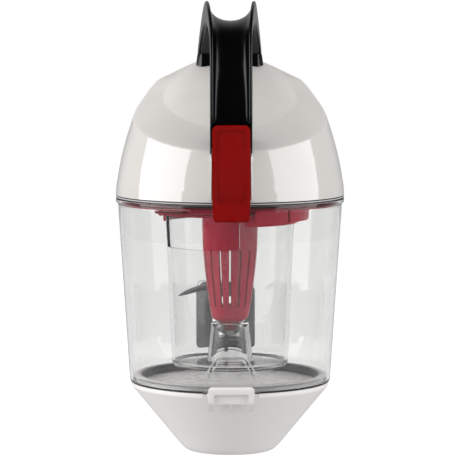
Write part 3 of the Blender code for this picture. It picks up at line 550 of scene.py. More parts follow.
# Grey rubber; on the door seal's inward faces it is also painted shade
SEAL_GREY_AND_SHADE = plastic("seal_rubber_grey_and_shade", (0.075, 0.076, 0.08), (0.11, 0.112, 0.118),
                    (0.4, 0.55), grain=1300.0, bump=0.00003)
FOAM = plastic("foam_cells", (0.01, 0.01, 0.012), (0.06, 0.06, 0.066), (0.9, 1.0),
               grain=420.0, bump=0.0006, patch=700.0)
PAPER = plastic("filter_paper", (0.62, 0.6, 0.55), (0.74, 0.72, 0.68), (0.85, 0.95),
                grain=600.0, bump=0.0001)
STEEL = plastic("plain_steel", (0.42, 0.42, 0.43), (0.58, 0.58, 0.59), (0.2, 0.35),
                metallic=1.0, bump=0.00001)
PALE_STEEL = plastic("pale_coated_steel", (0.84, 0.84, 0.84), (0.88, 0.88, 0.88), (0.3, 0.4),
                     bump=0.000006)
CLEAR = clear_plastic("clear_bin", (0.86, 0.86, 0.855), (0.0, 0.02))
CLEAR_CUP = clear_plastic("clear_cup", (0.95, 0.95, 0.95), (0.0, 0.03))


# ---------------------------------------------------------------- bin

def bin_radius(z):
    share = (z - BIN_BOTTOM) / (FLANGE_BOTTOM - BIN_BOTTOM)
    return BIN_BOTTOM_RADIUS + (BIN_TOP_RADIUS - BIN_BOTTOM_RADIUS) * share


def tapered_core(radius, low, high, offset):
    """Solid inside a tapered wall, whose outer radius by height is a function."""
    return lathe("core", ((0, high), (radius(high) + offset, high),
                          (radius(low) + offset, low), (0, low)))


def arch_rib():
    """Raised band on the bin's front. Its two feet hang beside the latch."""
    band, proud, foot = 3.3, 2.2, 48.2
    knots = ((18.3, foot), (18.3, 61.2), (9.6, 75.4), (0.0, 75.4))
    side = rounded([(x, z, r) for (x, z), r in zip(knots, (0, 2.4, 2.8, 0))], 6, closed=False)
    side = graded(side, 3.0, closed=False)
    path = side + [(-x, z) for x, z in reversed(side[:-1])]
    rings = []
    for i, (x, z) in enumerate(path):
        ahead = Vector(path[min(i + 1, len(path) - 1)])
        behind = Vector(path[max(i - 1, 0)])
        along = (ahead - behind).normalized()
        across = Vector((along.y, -along.x))
        section = rounded(((-band / 2, -1.0, 0), (-band / 2, proud, 0.9), (band / 2, proud, 0.9),
                           (band / 2, -1.0, 0)), 3)
        ring = []
        for wide, deep in section:
            px, pz = x + across.x * wide, z + across.y * wide
            if pz < BIN_BOTTOM + 0.7:
                deep = max(deep, BIN_BOTTOM_RADIUS + 0.15 - bin_radius(pz))
            radius = bin_radius(pz) + deep
            ring.append((px, -math.sqrt(radius * radius - px * px), pz))
        rings.append(ring)
    return to_object("arch_rib", loft_mesh(rings))


def port_outline(half, radius, steps=5):
    """Rounded square around the inlet port's centre."""
    return rectangle_at((PORT_X, PORT_Z), (half, half), radius, steps)


def inner_brackets():
    """Two upright ribs on the inside of the rear wall, on the right."""
    outline = rounded(((55.0, 62.0, 0), (55.0, 89.0, 4.0), (75.0, 89.0, 0), (75.0, 62.0, 0)))
    ribs = merged("brackets", [prism("bracket", outline, x, x + 1.8, "x") for x in (27.6, 45.6)])
    low, high, deep, inset = 55, 95, 6.5, 1.0
    keep_inside(ribs, lathe("shell", ((bin_radius(high) - inset, high),
                                      (bin_radius(low) - inset, low),
                                      (bin_radius(low) - deep, low),
                                      (bin_radius(high) - deep, high))))
    return ribs


def bin_ears():
    _, y, z = PIVOT["door_hinge"]
    outline = [(63.0, 62.0), (63.0, z + 1.6)] + arc((y, z), 3.8, 155, 360, 24) + [(81.8, z + 3)]
    ears = [prism("ear", outline, low, low + 9, "x", 0.5) for low in (-27.0, 18.0)]
    return merged("ears", ears)


def dust_bin():
    """Clear tapered bin with its port boss, hinge ears, front arch and inner ribs."""
    inner_bottom = BIN_BOTTOM_RADIUS - WALL
    inner_top = BIN_TOP_RADIUS - WALL
    obj = turned("clear_dust_bin", (
        (FLANGE_RADIUS, BIN_TOP, 0.8), (FLANGE_RADIUS, FLANGE_BOTTOM + 2.3, 1.0),
        (BIN_TOP_RADIUS, FLANGE_BOTTOM + 1.7, 0.8), (BIN_BOTTOM_RADIUS, BIN_BOTTOM, 0.5),
        (inner_bottom, BIN_BOTTOM, 0.5), (inner_top, FLANGE_BOTTOM, 1.0),
        (inner_top, BIN_TOP, 0.4)), 4, reach=9.0)
    middle = tapered_core(bin_radius, 40, 178, -1.0)
    boss = prism("boss", port_outline(PORT_BOSS_HALF, 4.0, 4), 60, PORT_FACE_Y, "y", 0.6)
    for tool in (boss, bin_ears()):
        cut(tool, middle, keep=True)
        join(obj, tool)
    discard(middle)
    join(obj, arch_rib())
    join(obj, inner_brackets())
    cut(obj, prism("hole", port_outline(PORT_HALF, 2.5, 4), 60, 90, "y"))
    cut(obj, pin_bore("door_hinge", HINGE_BORE, 30))
    even_shading(obj)
    dress(obj, "bin", "clear_plastic", "dust_bin", CLEAR)


def port_seal(node, body, material, centre, half, hole, face_y):
    """A moulded rubber frame with a raised lip, lying on a flat rear face.

    half and hole are the frame's outer and inner half sizes.
    """
    depth, width = 2.0, half[0] - hole[0]
    path = rectangle_at(centre, [(h + i) / 2 for h, i in zip(half, hole)], 3.0, 8)
    section = rounded(((-width / 2, 0, 0.3), (width / 2, 0, 0.3), (width / 2, depth * 0.55, 0.3),
                       (width * 0.2, depth * 0.55, 0.2), (width * 0.1, depth, 0.3),
                       (-width * 0.15, depth, 0.3), (-width * 0.25, depth * 0.55, 0.2),
                       (-width / 2, depth * 0.55, 0.3)), 3)
    rings = []
    count = len(path)
    for i in range(count):
        along = (Vector(path[(i + 1) % count]) - Vector(path[i - 1])).normalized()
        out = Vector((along.y, -along.x))
        rings.append([(path[i][0] + out.x * wide, face_y + GAP + deep,
                       path[i][1] + out.y * wide) for wide, deep in section])
    obj = to_object(node + "_frame", loft_mesh(rings + [rings[0]], cap=False))
    dress(obj, body, "rubber_seal", node, material)


# ---------------------------------------------------------------- fasteners and springs

def hinge_pin(node, joint, body):
    low, high = node_box(node)
    _, y, z = PIVOT[joint]
    radius = (high.y - low.y) / 2
    obj = rod(node + "_turned", (low.x, y, z), (high.x, y, z), radius, 32, radius * 0.3)
    dress(obj, body, "steel", node, STEEL)


def pan_screw(node, body, material, down=False):
    """A pan-head screw with a cross recess and a rolled thread, in its CAD node's place."""
    low, high = node_box(node)
    head, pitch, arm = 1.7, 1.1, 1.7
    length = high.z - low.z - head
    profile = [(0, length), (0.9, length)]
    turns = int(length / pitch)
    for i in range(turns):
        z = length - 0.5 - (length - 1.0) * i / turns
        profile += [(1.1, z), (1.42, z - 0.3)]
    profile += [(1.2, 0.2), (1.5, 0), (2.7, 0), (3.0, -0.3), (2.9, -1.0), (2.3, -1.6),
                (1.2, -head), (0, -head)]
    obj = lathe(node + "_threaded", profile, 32)
    for turn in (0, 90):
        slot = block("slot", (-arm, -0.35, -3.0), (arm, 0.35, -0.7))
        slot.data.transform(Matrix.Rotation(math.radians(turn), 4, "Z"))
        cut(obj, slot)
    flip = Matrix.Rotation(math.pi, 4, "X") if down else Matrix.Identity(4)
    seat = high.z - head if down else low.z + head
    obj.data.transform(Matrix.Translation(Vector((*plan_centre(node), seat)) * MM) @ flip)
    dress(obj, body, "steel", node, material)


def coil_spring(node, joint, body, width, leg):
    """A torsion spring wound round its pin, with two straight legs."""
    x0, y0, z0 = PIVOT[joint]
    radius, turns, steps = 1.3, 5.5, 24
    total = int(turns * steps)
    points = []
    for i in range(total + 1):
        turn = 2 * math.pi * i / steps
        points.append((x0 - width / 2 + width * i / total, y0 + radius * math.cos(turn),
                       z0 + radius * math.sin(turn)))
    points.insert(0, (points[0][0], points[0][1], points[0][2] - leg))
    points.append((points[-1][0], points[-1][1], points[-1][2] + leg))
    curve = bpy.data.curves.new(node + "_wound", "CURVE")
    curve.dimensions = "3D"
    curve.bevel_depth = 0.28 * MM
    curve.bevel_resolution = 3
    curve.use_fill_caps = True
    spline = curve.splines.new("POLY")
    spline.points.add(len(points) - 1)
    for knot, place in zip(spline.points, points):
        knot.co = (*(Vector(place) * MM), 1)
    spline.use_smooth = True
    obj = in_scene(node + "_wound", curve)
    curve.materials.append(STEEL)
    dress(obj, body, "steel", node)


def sector(name, inner, outer, start, end, low, high, corner=0.0):
    """A curved block between two radii and two plan angles, its ends rounded off."""
    reach = math.degrees(corner / ((inner + outer) / 2))
    ends = [(math.radians(15 * k)) for k in range(7)] if corner else [math.pi / 2]
    stations = [(start + reach * (1 - math.cos(t)), corner * (1 - math.sin(t))) for t in ends]
    middle = max(2, int((end - start - 2 * reach) / 3))
    first, last = start + reach, end - reach
    stations += [(first + (last - first) * k / middle, 0.0) for k in range(1, middle)]
    stations += [(end - reach * (1 - math.cos(t)), corner * (1 - math.sin(t)))
                 for t in reversed(ends)]
    rings = []
    for degrees, inset in stations:
        ring = []
        for radius, z in ((inner, low + inset), (outer, low + inset), (outer, high - inset),
                          (inner, high - inset)):
            ring.append((*polar(radius, degrees), z))
        rings.append(ring)
    return to_object(name, loft_mesh(rings))


# ---------------------------------------------------------------- separator

PLATE_BOTTOM, PLATE_TOP = BIN_TOP - 4.1, BIN_TOP - 2.1
CUP_TOP_RADIUS, CUP_BOTTOM_RADIUS = CUP_HIGH.x, 42.0
CONE_SLOTS = 16
VANE_STEPS = 48


def grille_screw_bores():
    return screw_bores([(*polar(26.0, d), 170, PLATE_TOP + 2) for d in (90, 210, 330)])


def separator_frame():
    seat = BIN_TOP + GAP
    top = seat + 1.15
    obj = turned("red_frame", (
        (81.0, top, 0.5), (81.0, seat, 0.2), (75.2, seat, 0.4), (75.2, PLATE_TOP, 0.3),
        (78.3, PLATE_TOP, 0.4), (78.3, PLATE_BOTTOM, 0.8), (57.4, PLATE_BOTTOM, 0.8),
        (57.0, 168.6, 0.7), (55.2, 168.6, 0.7), (55.2, PLATE_BOTTOM, 0.5),
        (49.4, PLATE_BOTTOM, 0.5), (49.2, 166.0, 0.7), (47.3, 166.0, 0.7),
        (47.3, PLATE_BOTTOM, 0.4), (31.0, PLATE_BOTTOM, 0.8), (31.0, 175.6, 0.6),
        (17.0, 175.6, 0.5), (17.0, PLATE_TOP, 0.5), (57.5, PLATE_TOP, 0.6), (57.5, 212.0, 0.7),
        (59.5, 212.0, 0.7), (59.5, PLATE_TOP, 0.8), (73.0, PLATE_TOP, 0.8), (73.0, top, 0.5)))
    _, y, z = PIVOT["lid_hinge"]
    ear = [(77.5, top - 0.3), (77.5, seat + 0.15), (83.3, seat + 0.15)]
    ear += arc((y, z), 3.5, 175, 450, 24) + [(84.5, 186.2), (81.8, 186.2), (81.8, top - 0.3)]
    join(obj, merged("ears", [prism("ear", ear, x, x + 6, "x", 0.4) for x in (-20.0, 14.0)]))
    gaps = ((-114, 18), (44.8, 47.4), (102, 112), (160, 200), (218.4, 223), (231, 233))
    for start, end in gaps:
        cut(obj, sector("gap", 54.2, 58.4, start, end, 164.0, PLATE_BOTTOM - 0.2))
    cut(obj, sector("gap", 46.8, 50.0, -100, 14, 164.0, PLATE_BOTTOM - 0.2))
    cut(obj, pin_bore("lid_hinge", HINGE_BORE, 25))
    cut(obj, grille_screw_bores())
    dress(obj, "separator", "red_plastic", "separator_frame", RED_INNER)


def cone_grille():
    obj = turned("red_cone", (
        (30.0, 175.2, 0.5), (30.0, 173.2, 0.6), (20.4, 173.2, 1.5), (19.8, 147.6, 2.0),
        (18.6, 134.0, 2.0), (16.0, 113.0, 2.0), (13.3, 95.8, 2.5), (6.8, 93.4, 2.0),
        (5.6, 89.6, 1.5), (2.4, 87.2, 0.8), (0.8, 87.0, 0.3), (0.8, 89.0, 0.3),
        (3.4, 91.4, 0.8), (4.6, 95.2, 1.5), (11.3, 97.6, 2.0), (14.0, 113.0, 1.0),
        (16.6, 134.0, 1.0), (17.8, 147.6, 1.0), (18.2, 175.2, 0.4)), sides=SMALL_SIDES)
    slots = []
    for i in range(CONE_SLOTS):
        slot = prism("slot", rectangle((-0.8, 105.0), (0.8, 147.0), 0.7, 3), -22.5, -10.5, "y")
        slot.data.transform(Matrix.Rotation(2 * math.pi * i / CONE_SLOTS, 4, "Z"))
        slots.append(slot)
    cut(obj, merged("slots", slots))
    cut(obj, grille_screw_bores())
    dress(obj, "separator", "red_plastic", "cone_grille", RED_INNER)


def cup_radius(z):
    share = (z - CUP_LOW.z) / (CUP_HIGH.z - CUP_LOW.z)
    return CUP_BOTTOM_RADIUS + (CUP_TOP_RADIUS - CUP_BOTTOM_RADIUS) * share


def cyclone_cup():
    low, high = CUP_LOW.z, CUP_HIGH.z
    floor = low + 2.4
    obj = turned("clear_cup", (
        (0, floor, 0), (cup_radius(floor) - 3.4, floor, 1.2),
        (cup_radius(floor + 1.4) - WALL, floor + 1.4, 1.0), (CUP_TOP_RADIUS - WALL, high, 0.4),
        (CUP_TOP_RADIUS, high, 0.6), (cup_radius(low + 1.2), low + 1.2, 1.0),
        (CUP_BOTTOM_RADIUS - 1.2, low, 0.8), (0, low, 0)), 4, closed=False, reach=9.0)
    cut(obj, sector("window", 40.0, 52.0, -81, 8, 149.0, high + 8.0, 3.0))
    cut(obj, prism("inlet", port_outline(PORT_HALF, 3.0), 25, 60, "y"))
    even_shading(obj)
    dress(obj, "separator", "clear_plastic", "cyclone_cup", CLEAR_CUP)


def cup_seal():
    obj = turned("cup_seal_ring", (
        (54.6, 175.2, 0.5), (54.6, 173.0, 0.8), (53.2, 173.0, 0.3), (52.8, 173.6, 0.3),
        (51.6, 173.6, 0.3), (51.2, 173.0, 0.3), (49.9, 173.0, 0.8), (49.9, 175.2, 0.5)),
        sides=SMALL_SIDES)
    dress(obj, "separator", "rubber_seal", "cup_seal", SEAL_RED)


def cone_support():
    base = CUP_LOW.z + 2.75
    obj = turned("clear_pillar", (
        (0, 85.6, 0), (3.4, 86.0, 1.0), (7.2, 88.6, 1.5), (8.6, 93.2, 0.4), (13.5, 93.2, 1.2),
        (16.6, base, 0.4), (14.8, base, 0.4), (11.9, 90.6, 0.8), (9.4, 88.6, 0.8),
        (7.6, 86.0, 1.0), (3.4, 84.0, 1.0), (0, 83.6, 0)), 4, SMALL_SIDES, closed=False)
    dress(obj, "separator", "clear_plastic", "cone_support", CLEAR_CUP)


def inlet_hood():
    obj = prism("grey_hood", port_outline(22.5, 3.5), 30, 49, "y")
    join(obj, prism("duct", port_outline(PORT_HALF + 2.2, 3.0), 44, 74, "y"))
    low, high = 50, 130
    cut(obj, tapered_core(cup_radius, low, high, GAP))
    inside = WALL + 0.6
    cut(obj, lathe("bin_space", ((95, high), (95, low), (bin_radius(low) - inside, low),
                                 (bin_radius(high) - inside, high))))
    bottom, top = PORT_Z - PORT_HALF, PORT_Z + PORT_HALF
    for left, right in ((PORT_X - PORT_HALF + 5.2, PORT_X - 1.6),
                        (PORT_X + 1.6, PORT_X + PORT_HALF)):
        cut(obj, prism("opening", rectangle((left, bottom), (right, top), 1.8), 20, 90, "y"))
        cut(obj, block("mouth", (left, 20, bottom - 10), (right, 62, bottom + 4)))
    soften(obj, 0.45)
    dress(obj, "separator", "grey_plastic", "inlet_hood", GREY)


def swirl_vane():
    """Grey fin along the cup's wall, narrower and thinner towards its free end."""
    first, sweep = -150, 38
    rings = []
    for i in range(VANE_STEPS + 1):
        share = i / VANE_STEPS
        height = 115.0 - 4.5 * share
        outer = cup_radius(height) - WALL - 0.55
        width = 9.0 - 6.5 * share - 1.7 * max(0.0, share - 0.7) / 0.3
        thick = 1.6 - 0.9 * share - 0.4 * max(0.0, share - 0.8) / 0.2
        section = rounded(((outer - width, -thick, thick * 0.9), (outer, -thick, 0.3),
                           (outer, thick, 0.3), (outer - width, thick, thick * 0.9)), 4)
        rings.append([(*polar(radius, first + sweep * share), height + lift)
                      for radius, lift in section])
    obj = to_object("grey_vane", loft_mesh(rings))
    dress(obj, "separator", "grey_plastic", "swirl_vane", GREY)


def mouth_gasket():
    """Rubber seal in the bin's mouth, with a grooved bead that shows under the lid."""
    top, inner, outer = BIN_TOP, 81.15, 82.35
    groove_low, groove_high, groove_radius = 0.9, 1.7, 81.9
    obj = turned("mouth_seal", (
        (76.6, top - 0.3, 0.3), (78.6, top - 0.5, 0.4), (78.6, top - 0.9, 0.2),
        (77.6, top - 1.1, 0.2), (78.6, top - 1.4, 0.2), (78.6, top - 1.7, 0.2),
        (76.6, top - 1.9, 0.3), (75.5, top - 1.9, 0.2), (75.5, top + 0.1, 0.2),
        (inner, top + 0.25, 0.0), (inner, top + 2.35, 0.2), (outer, top + 2.35, 0.3),
        (outer, top + 1.75, 0.2), (outer - 0.25, top + 1.6, 0.1), (outer - 0.25, top + 1.0, 0.1),
        (outer, top + 0.85, 0.2), (outer, top + 0.1, 0.1)))
    dress(obj, "separator", "rubber_seal", "mouth_gasket", RUBBER_AND_GAP_SHADOW, SEAL_PALE_AND_LIT)
    for face in obj.data.polygons:
        height = face.center.z / MM - top
        face.material_index = int(face.center.xy.length > groove_radius * MM
                                  and groove_low < height < groove_high)


def pleated_filter():
    """Corrugated paper disc inside its round frame."""
    radius, pleats = 50.8, 22
    pitch = 2 * radius / pleats
    upper, lower = [], []
    for i in range(pleats * 2 + 1):
        x = -radius + pitch * i / 2
        lift = 2.2 if i % 2 else -2.2
        upper.append((x, 188.6 + lift, 0.7))
        lower.append((x, 187.4 + lift, 0.7))
    outline = rounded(upper + list(reversed(lower)), 3)
    obj = prism("pleated_paper", outline, -52, 52, "y")
    keep_inside(obj, rod("round", (0, 0, 178), (0, 0, 197), radius - 0.2, FEW_SIDES))
    join(obj, lathe("rim", rectangle((49.8, 183.6), (51.0, 194.0), 0.3, 2), SMALL_SIDES))
    dress(obj, "separator", "filter_paper", "pleated_filter", PAPER)


def filter_frame():
    low = PLATE_TOP + 0.4
    obj = turned("filter_ring", ((57.0, 195.6, 0.6), (57.0, low, 0.6), (51.4, low, 0.5),
                                 (51.4, 195.6, 0.6)), sides=SMALL_SIDES)
    bars = [block("bar", (-52.5, -1.5, low + 0.05), (52.5, 1.5, low + 1.3), 0.3)]
    for turn in (60, 120):
        bar = block("bar", (-52.5, -1.2, low + 0.1), (52.5, 1.2, low + 1.2), 0.3)
        bar.data.transform(Matrix.Rotation(math.radians(turn), 4, "Z"))
        bars.append(bar)
    for bar in bars:
        join(obj, bar)
    dress(obj, "separator", "light_grey_plastic", "filter_frame", LIGHT_GREY)


def foam_filter():
    obj = turned("foam_disc", (
        (0, 210.5, 0), (53.5, 210.5, 1.5), (56.0, 208.5, 1.5), (56.8, 204.0, 2.0),
        (56.4, 197.5, 1.0), (55.0, 196.0, 1.0), (0, 196.0, 0)), 5, SMALL_SIDES, closed=False)
    dress(obj, "separator", "foam", "foam_filter", FOAM)


# ---------------------------------------------------------------- lid

SKIRT_ROWS, CREASE_ROWS = 20, 4
HUMP_Y, HUMP_TOP = 27.0, 283.2


def dome_radius(z):
    return smooth(DOME, z)


def crease_height(degrees):
    """Height at which the dome meets the crease in one direction, by halving."""
    low, high = 200.0, 284.0
    for _ in range(40):
        z = (low + high) / 2
        y = -dome_radius(z) * math.cos(math.radians(degrees))
        if smooth(CREASE, y) > z:
            low = z
        else:
            high = z
    return z


def cover_line(degrees, grow):
    """The lid's surface in one direction: skirt, crease, shoulder, hump and top."""
    height = crease_height(degrees)
    back = (1 - math.cos(math.radians(degrees))) / 2
    crease = Vector((*polar(dome_radius(height) + grow, degrees), height + grow))
    inset = smooth(((0.0, 29.5), (0.5, 21.0), (0.75, 12.0), (1.0, 6.0)), back)
    slope = smooth(((0.0, 0.49), (0.5, 0.49), (0.8, 0.1), (1.0, 0.0)), back)
    scale = 1 - inset / math.hypot(crease.x, crease.y)
    edge = Vector((crease.x * scale, crease.y * scale, crease.z + inset * slope))
    x, y = polar(1.0, degrees)
    top = Vector((22 * x, HUMP_Y + 12 * y, HUMP_TOP - 1.9 + 2.6 * y + grow))
    middle = (edge + top) / 2 + Vector((0, 0, 2.5 - 2.5 * y))
    peak = Vector((0, HUMP_Y, HUMP_TOP + grow))
    line = []
    for k in range(SKIRT_ROWS + 1):
        z = LID_BOTTOM + (height + grow - 1.3 - LID_BOTTOM) * k / SKIRT_ROWS
        line.append(Vector((*polar(dome_radius(z - grow * k / SKIRT_ROWS) + grow, degrees), z)))
    shoulder = (edge - crease).normalized()
    line += bend(line[-1], crease, crease + shoulder * 1.3, CREASE_ROWS)[1:]
    control = middle * 2 - (edge + top) / 2
    rise = (control - edge).normalized()
    turn = min(1.2, inset * 0.3)
    start, stop = edge - shoulder * turn, edge + rise * turn
    for k in range(1, 5):
        line.append(line[SKIRT_ROWS + CREASE_ROWS].lerp(start, k / 4))
    line += bend(start, edge, stop, 6)[1:]
    line += bend(stop, control, top, 16)[1:]
    line += bend(top, Vector((top.x / 2, (HUMP_Y + top.y) / 2, peak.z)), peak, 5)[1:-1]
    return line


def cover_rings(grow):
    """The lid's surface, grown outwards, as rings from the skirt up and the peak."""
    lines = [cover_line(360 * i / SIDES, grow) for i in range(SIDES)]
    return [list(ring) for ring in zip(*lines)], Vector((0, HUMP_Y, HUMP_TOP + grow))


def cover_solid(name, grow):
    """The space under the lid's surface, down to well below its edge."""
    rings, peak = cover_rings(grow)
    rings.insert(0, [corner - Vector((0, 0, 20)) for corner in rings[0]])
    return to_object(name, loft_mesh(rings, tip=peak))


def top_cover():
    """White lid: glossy skirt and inside, satin shoulder and hump."""
    bm = bmesh.new()
    loops, peaks = [], []
    for grow in (0.0, -LID_WALL):
        rings, peak = cover_rings(grow)
        loops.append([[bm.verts.new(p * MM) for p in ring] for ring in rings])
        peaks.append(bm.verts.new(peak * MM))
    for side, (rows, peak) in enumerate(zip(loops, peaks)):
        for row, (lower, upper) in enumerate(zip(rows, rows[1:])):
            for face in bridge(bm, lower, upper):
                face.material_index = int(side == 0 and row >= SKIRT_ROWS + CREASE_ROWS // 2)
        for face in fan(bm, rows[-1], peak):
            face.material_index = int(side == 0)
    bridge(bm, loops[0][0], loops[1][0])
    obj = to_object("white_lid", bm)
    obj.data.materials.append(WHITE)
    obj.data.materials.append(SATIN)

    core = cover_solid("core", -1.2)
    for tool in (lever_cheeks(), outlet_boss(), cover_knuckle()):
        cut(tool, core, keep=True)
        join(obj, tool)
    for x, y, low, high in handle_screw_places():
        boss = rod("boss", (x, y, low), (x, y, high), 4.6)
        keep_inside(boss, core, keep=True)
        join(obj, boss)
    discard(core)
    notches = [block("notch", (x, 70, 180), (x + 6.6, 95, 187.6)) for x in (-20.4, 13.8)]
    cut(obj, merged("notches", notches))
    cut(obj, prism("outlet", rectangle_at((0, OUTLET_Z), OUTLET_HALF, 2.5, 5), 40, 95, "y"))
    cut(obj, pin_bore("lid_release", PIN_BORE))
    cut(obj, pin_bore("lid_hinge", HINGE_BORE, 25))
    for x, y, low, high in handle_screw_places():
        cut(obj, screw_bores([(x, y, low - 2, high + 4)]))
    dress(obj, "lid", "white_plastic", "top_cover")


def handle_screw_places():
    """Plan position, underside and top of the boss for each handle screw."""
    places = []
    for i, top in ((1, 235.0), (2, 235.0), (3, 290.0), (4, 290.0)):
        node = "handle_screw_%d" % i
        places.append((*plan_centre(node), node_box(node)[0].z + 2.05, top))
    return places


def lever_cheeks():
    z = PIVOT["lid_release"].z
    outline = rounded(((-78.0, 188.0, 0), (-86.6, 188.0, 1.5), (-85.6, z + 2, 2.5),
                       (-83.4, z + 6, 2.5), (-70.0, z + 6, 0), (-70.0, 200.0, 0)), 4)
    return merged("cheeks", [prism("cheek", outline, low, high, "x", 0.35)
                             for low, high in ((-CHEEK_HALF, -LEVER_HALF - GAP),
                                               (LEVER_HALF + GAP, CHEEK_HALF))])


def outlet_boss():
    half = [h + OUTLET_BORDER for h in OUTLET_HALF]
    outline = rectangle_at((0, OUTLET_Z), half, 4.0, 6)
    return prism("boss", outline, 50, OUTLET_FACE_Y, "y", 0.8)


def cover_knuckle():
    _, y, z = PIVOT["lid_hinge"]
    outline = [(74.0, 193.0), (74.0, LID_BOTTOM + 2.4), (82.9, LID_BOTTOM + 2.4)]
    outline += arc((y, z), 3.5, 170, 400, 24)
    return prism("knuckle", outline, -13.5, 13.5, "x", 0.4)


def arch_frame(turn):
    """A point of the handle's outer curve and the direction into the arch."""
    if turn > 180:
        fall = turn - 180
        return Vector((0, ARCH_Y - ARCH_REACH + 0.115 * fall, ARCH_Z - fall)), Vector((0, 1, 0))
    angle = math.radians(turn)
    place = Vector((0, ARCH_Y + ARCH_REACH * math.cos(angle),
                    ARCH_Z + ARCH_RISE * math.sin(angle)))
    inward = Vector((0, -math.cos(angle) / ARCH_REACH, -math.sin(angle) / ARCH_RISE))
    return place, inward.normalized()


def channel_section(half, depth, power):
    """Half-open channel: rounded flange tips, a valley between them, a rounded underside."""
    inner = half - 2.5
    floor = depth - 3.0
    tip = (half - inner) / 2
    points = []
    steps = 20
    for k in range(steps + 1):
        angle = math.pi * k / steps
        across, deep = math.cos(angle), math.sin(angle)
        x = -inner * math.copysign(abs(across) ** (2 / power), across)
        points.append((x, tip + (floor - tip) * abs(deep) ** (2 / power)))
    right = [(half - tip + tip * math.cos(math.radians(180 - 30 * k)),
              tip - tip * math.sin(math.radians(180 - 30 * k))) for k in range(1, 7)]
    corner = 3.2
    right += [(half - corner + corner * math.cos(math.radians(18 * k)),
               depth - corner + corner * math.sin(math.radians(18 * k))) for k in range(6)]
    return points + right + [(-x, deep) for x, deep in reversed(right)]


def carry_handle():
    widths = ((14.0, 24.6), (33.0, 23.3), (51.0, 21.3), (70.0, 19.4), (90.0, 18.0),
              (110.0, 16.6), (130.0, 15.1), (160.0, 14.8), (230.0, 14.8))
    depths = ((14.0, 12.0), (50.0, 14.6), (90.0, 17.0), (120.0, 15.6), (150.0, 13.6),
              (180.0, 12.0), (230.0, 12.0))
    powers = ((14.0, 3.2), (60.0, 2.4), (90.0, 2.1), (120.0, 2.6), (150.0, 4.0), (180.0, 6.0),
              (230.0, 6.0))
    first, last, count = 204.6, 17.0, 84
    rings = []
    for i in range(count + 1):
        turn = first - (first - last) * i / count
        place, inward = arch_frame(turn)
        section = channel_section(smooth(widths, turn), smooth(depths, turn),
                                  smooth(powers, turn))
        rings.append([place + Vector((x, 0, 0)) + inward * deep for x, deep in section])
    obj = to_object("black_handle", loft_mesh(rings))
    rear = [rounded(mirrored(((20.6, 14.6, 1.0), (half, 19.0, 1.5), (half, 39.0, 4.0))), 4)
            for half in (25.4, 24.5, 23.6, 22.8)]
    heights = (255.0, 279.0, 286.0, 287.4)
    join(obj, to_object("rear_foot", loft_mesh([[(x, y, z) for x, y in outline]
                                                for outline, z in zip(rear, heights)])))
    front = rounded(((-72.5, 214.0, 0), (-72.5, 244.0, 0.8), (-69.6, 244.0, 1.2),
                     (-63.5, 233.5, 3.0), (-60.5, 229.5, 1.5), (-60.5, 214.0, 0)), 4)
    join(obj, prism("front_foot", front, -14.2, 14.2, "x", 0.8))
    cut(obj, cover_solid("clearance", 0.4))
    pocket = LEVER_HALF + GAP
    cut(obj, block("pocket", (-pocket, -90.0, 190.0), (pocket, -72.0, 241.0)))
    cut(obj, screw_bores([(x, y, low, high - 6) for x, y, low, high in handle_screw_places()]))
    dress(obj, "lid", "black_plastic", "carry_handle", BLACK)


def lid_gasket():
    obj = turned("lid_seal", (
        (79.0, 187.6, 0.4), (79.0, 185.55, 0.8), (78.2, 185.55, 0.3), (77.9, 186.0, 0.3),
        (77.3, 186.0, 0.3), (77.0, 185.55, 0.3), (76.4, 185.55, 0.6), (76.4, 187.6, 0.4)))
    dress(obj, "lid", "rubber_seal", "lid_gasket", RUBBER_AND_GAP_SHADOW)


def outlet_grille():
    half_x, half_z = (half - GAP for half in OUTLET_HALF)
    outline = rectangle_at((0, OUTLET_Z), (half_x, half_z), 2.2, 5)
    obj = prism("barred_outlet", outline, 81.0, 83.8, "y", 0.4)
    holes = []
    for column in range(6):
        x = -half_x + 2.0 + column * 8.0
        hole = rectangle((x, OUTLET_Z - half_z + 2), (x + 5.3, OUTLET_Z + half_z - 2), 1.6)
        holes.append(prism("hole", hole, 75, 90, "y"))
    cut(obj, merged("holes", holes))
    soften(obj, 0.25)
    dress(obj, "lid", "grey_plastic", "outlet_grille", GREY)


def lid_release_lever():
    """Red lever: rounded plate with a sunk thumb panel and a flared finger lip."""
    _, y, z = PIVOT["lid_release"]
    half, top, foot = LEVER_HALF, 240.0, 173.0
    side = rounded(((-80.6, top, 0.8), (-85.6, z, 14.0), (-87.3, 187.0, 6.0),
                    (-91.3, 174.8, 1.2), (-90.6, foot, 0.9), (-88.9, foot + 0.2, 0.9),
                    (-86.4, 178.0, 1.0), (-84.0, 176.0, 0.8), (-83.0, 176.6, 0.5),
                    (-83.0, 178.0, 0.8), (-85.0, 184.5, 4.0), (-83.4, z - 6, 3.0),
                    (-83.4, z + 6, 3.0), (-78.2, top, 0.6)), 8)
    obj = prism("red_lever", side, -half, half, "x")
    outline = rounded(mirrored(((half, top + 0.1, 5.0), (half, 187.0, 4.0),
                                (half - 0.5, 180.0, 3.0), (half - 0.7, foot + 0.1, 3.4))), 6)
    keep_inside(obj, prism("outline", outline, -95, -75, "y"))
    panel = rounded(mirrored(((9.7, 186.5, 2.2), (9.9, 236.5, 3.6))), 6)
    window = prism("panel", panel, -97, -80, "y")
    reach = ((-99.0, 240.0, 4.0), (-79.9, 237.5, 4.0), (-84.9, z + 1, 4.0), (-86.1, 199.0, 4.0),
             (-86.2, 187.0, 4.0), (-87.4, 181.0, 4.0), (-99.0, 181.0, 4.0))
    keep_inside(window, prism("reach", rounded(reach, 6), -12, 12, "x"))
    cut(obj, window)
    for x in (-12.9, 5.0):
        join(obj, rod("boss", (x, y, z), (x + 7.9, y, z), 2.1))
    cut(obj, pin_bore("lid_release", PIN_BORE))
    soften(obj, 0.5, 42, 4)
    dress(obj, "release_lever", "red_plastic", "lid_release_lever", RED)


# ---------------------------------------------------------------- bottom door

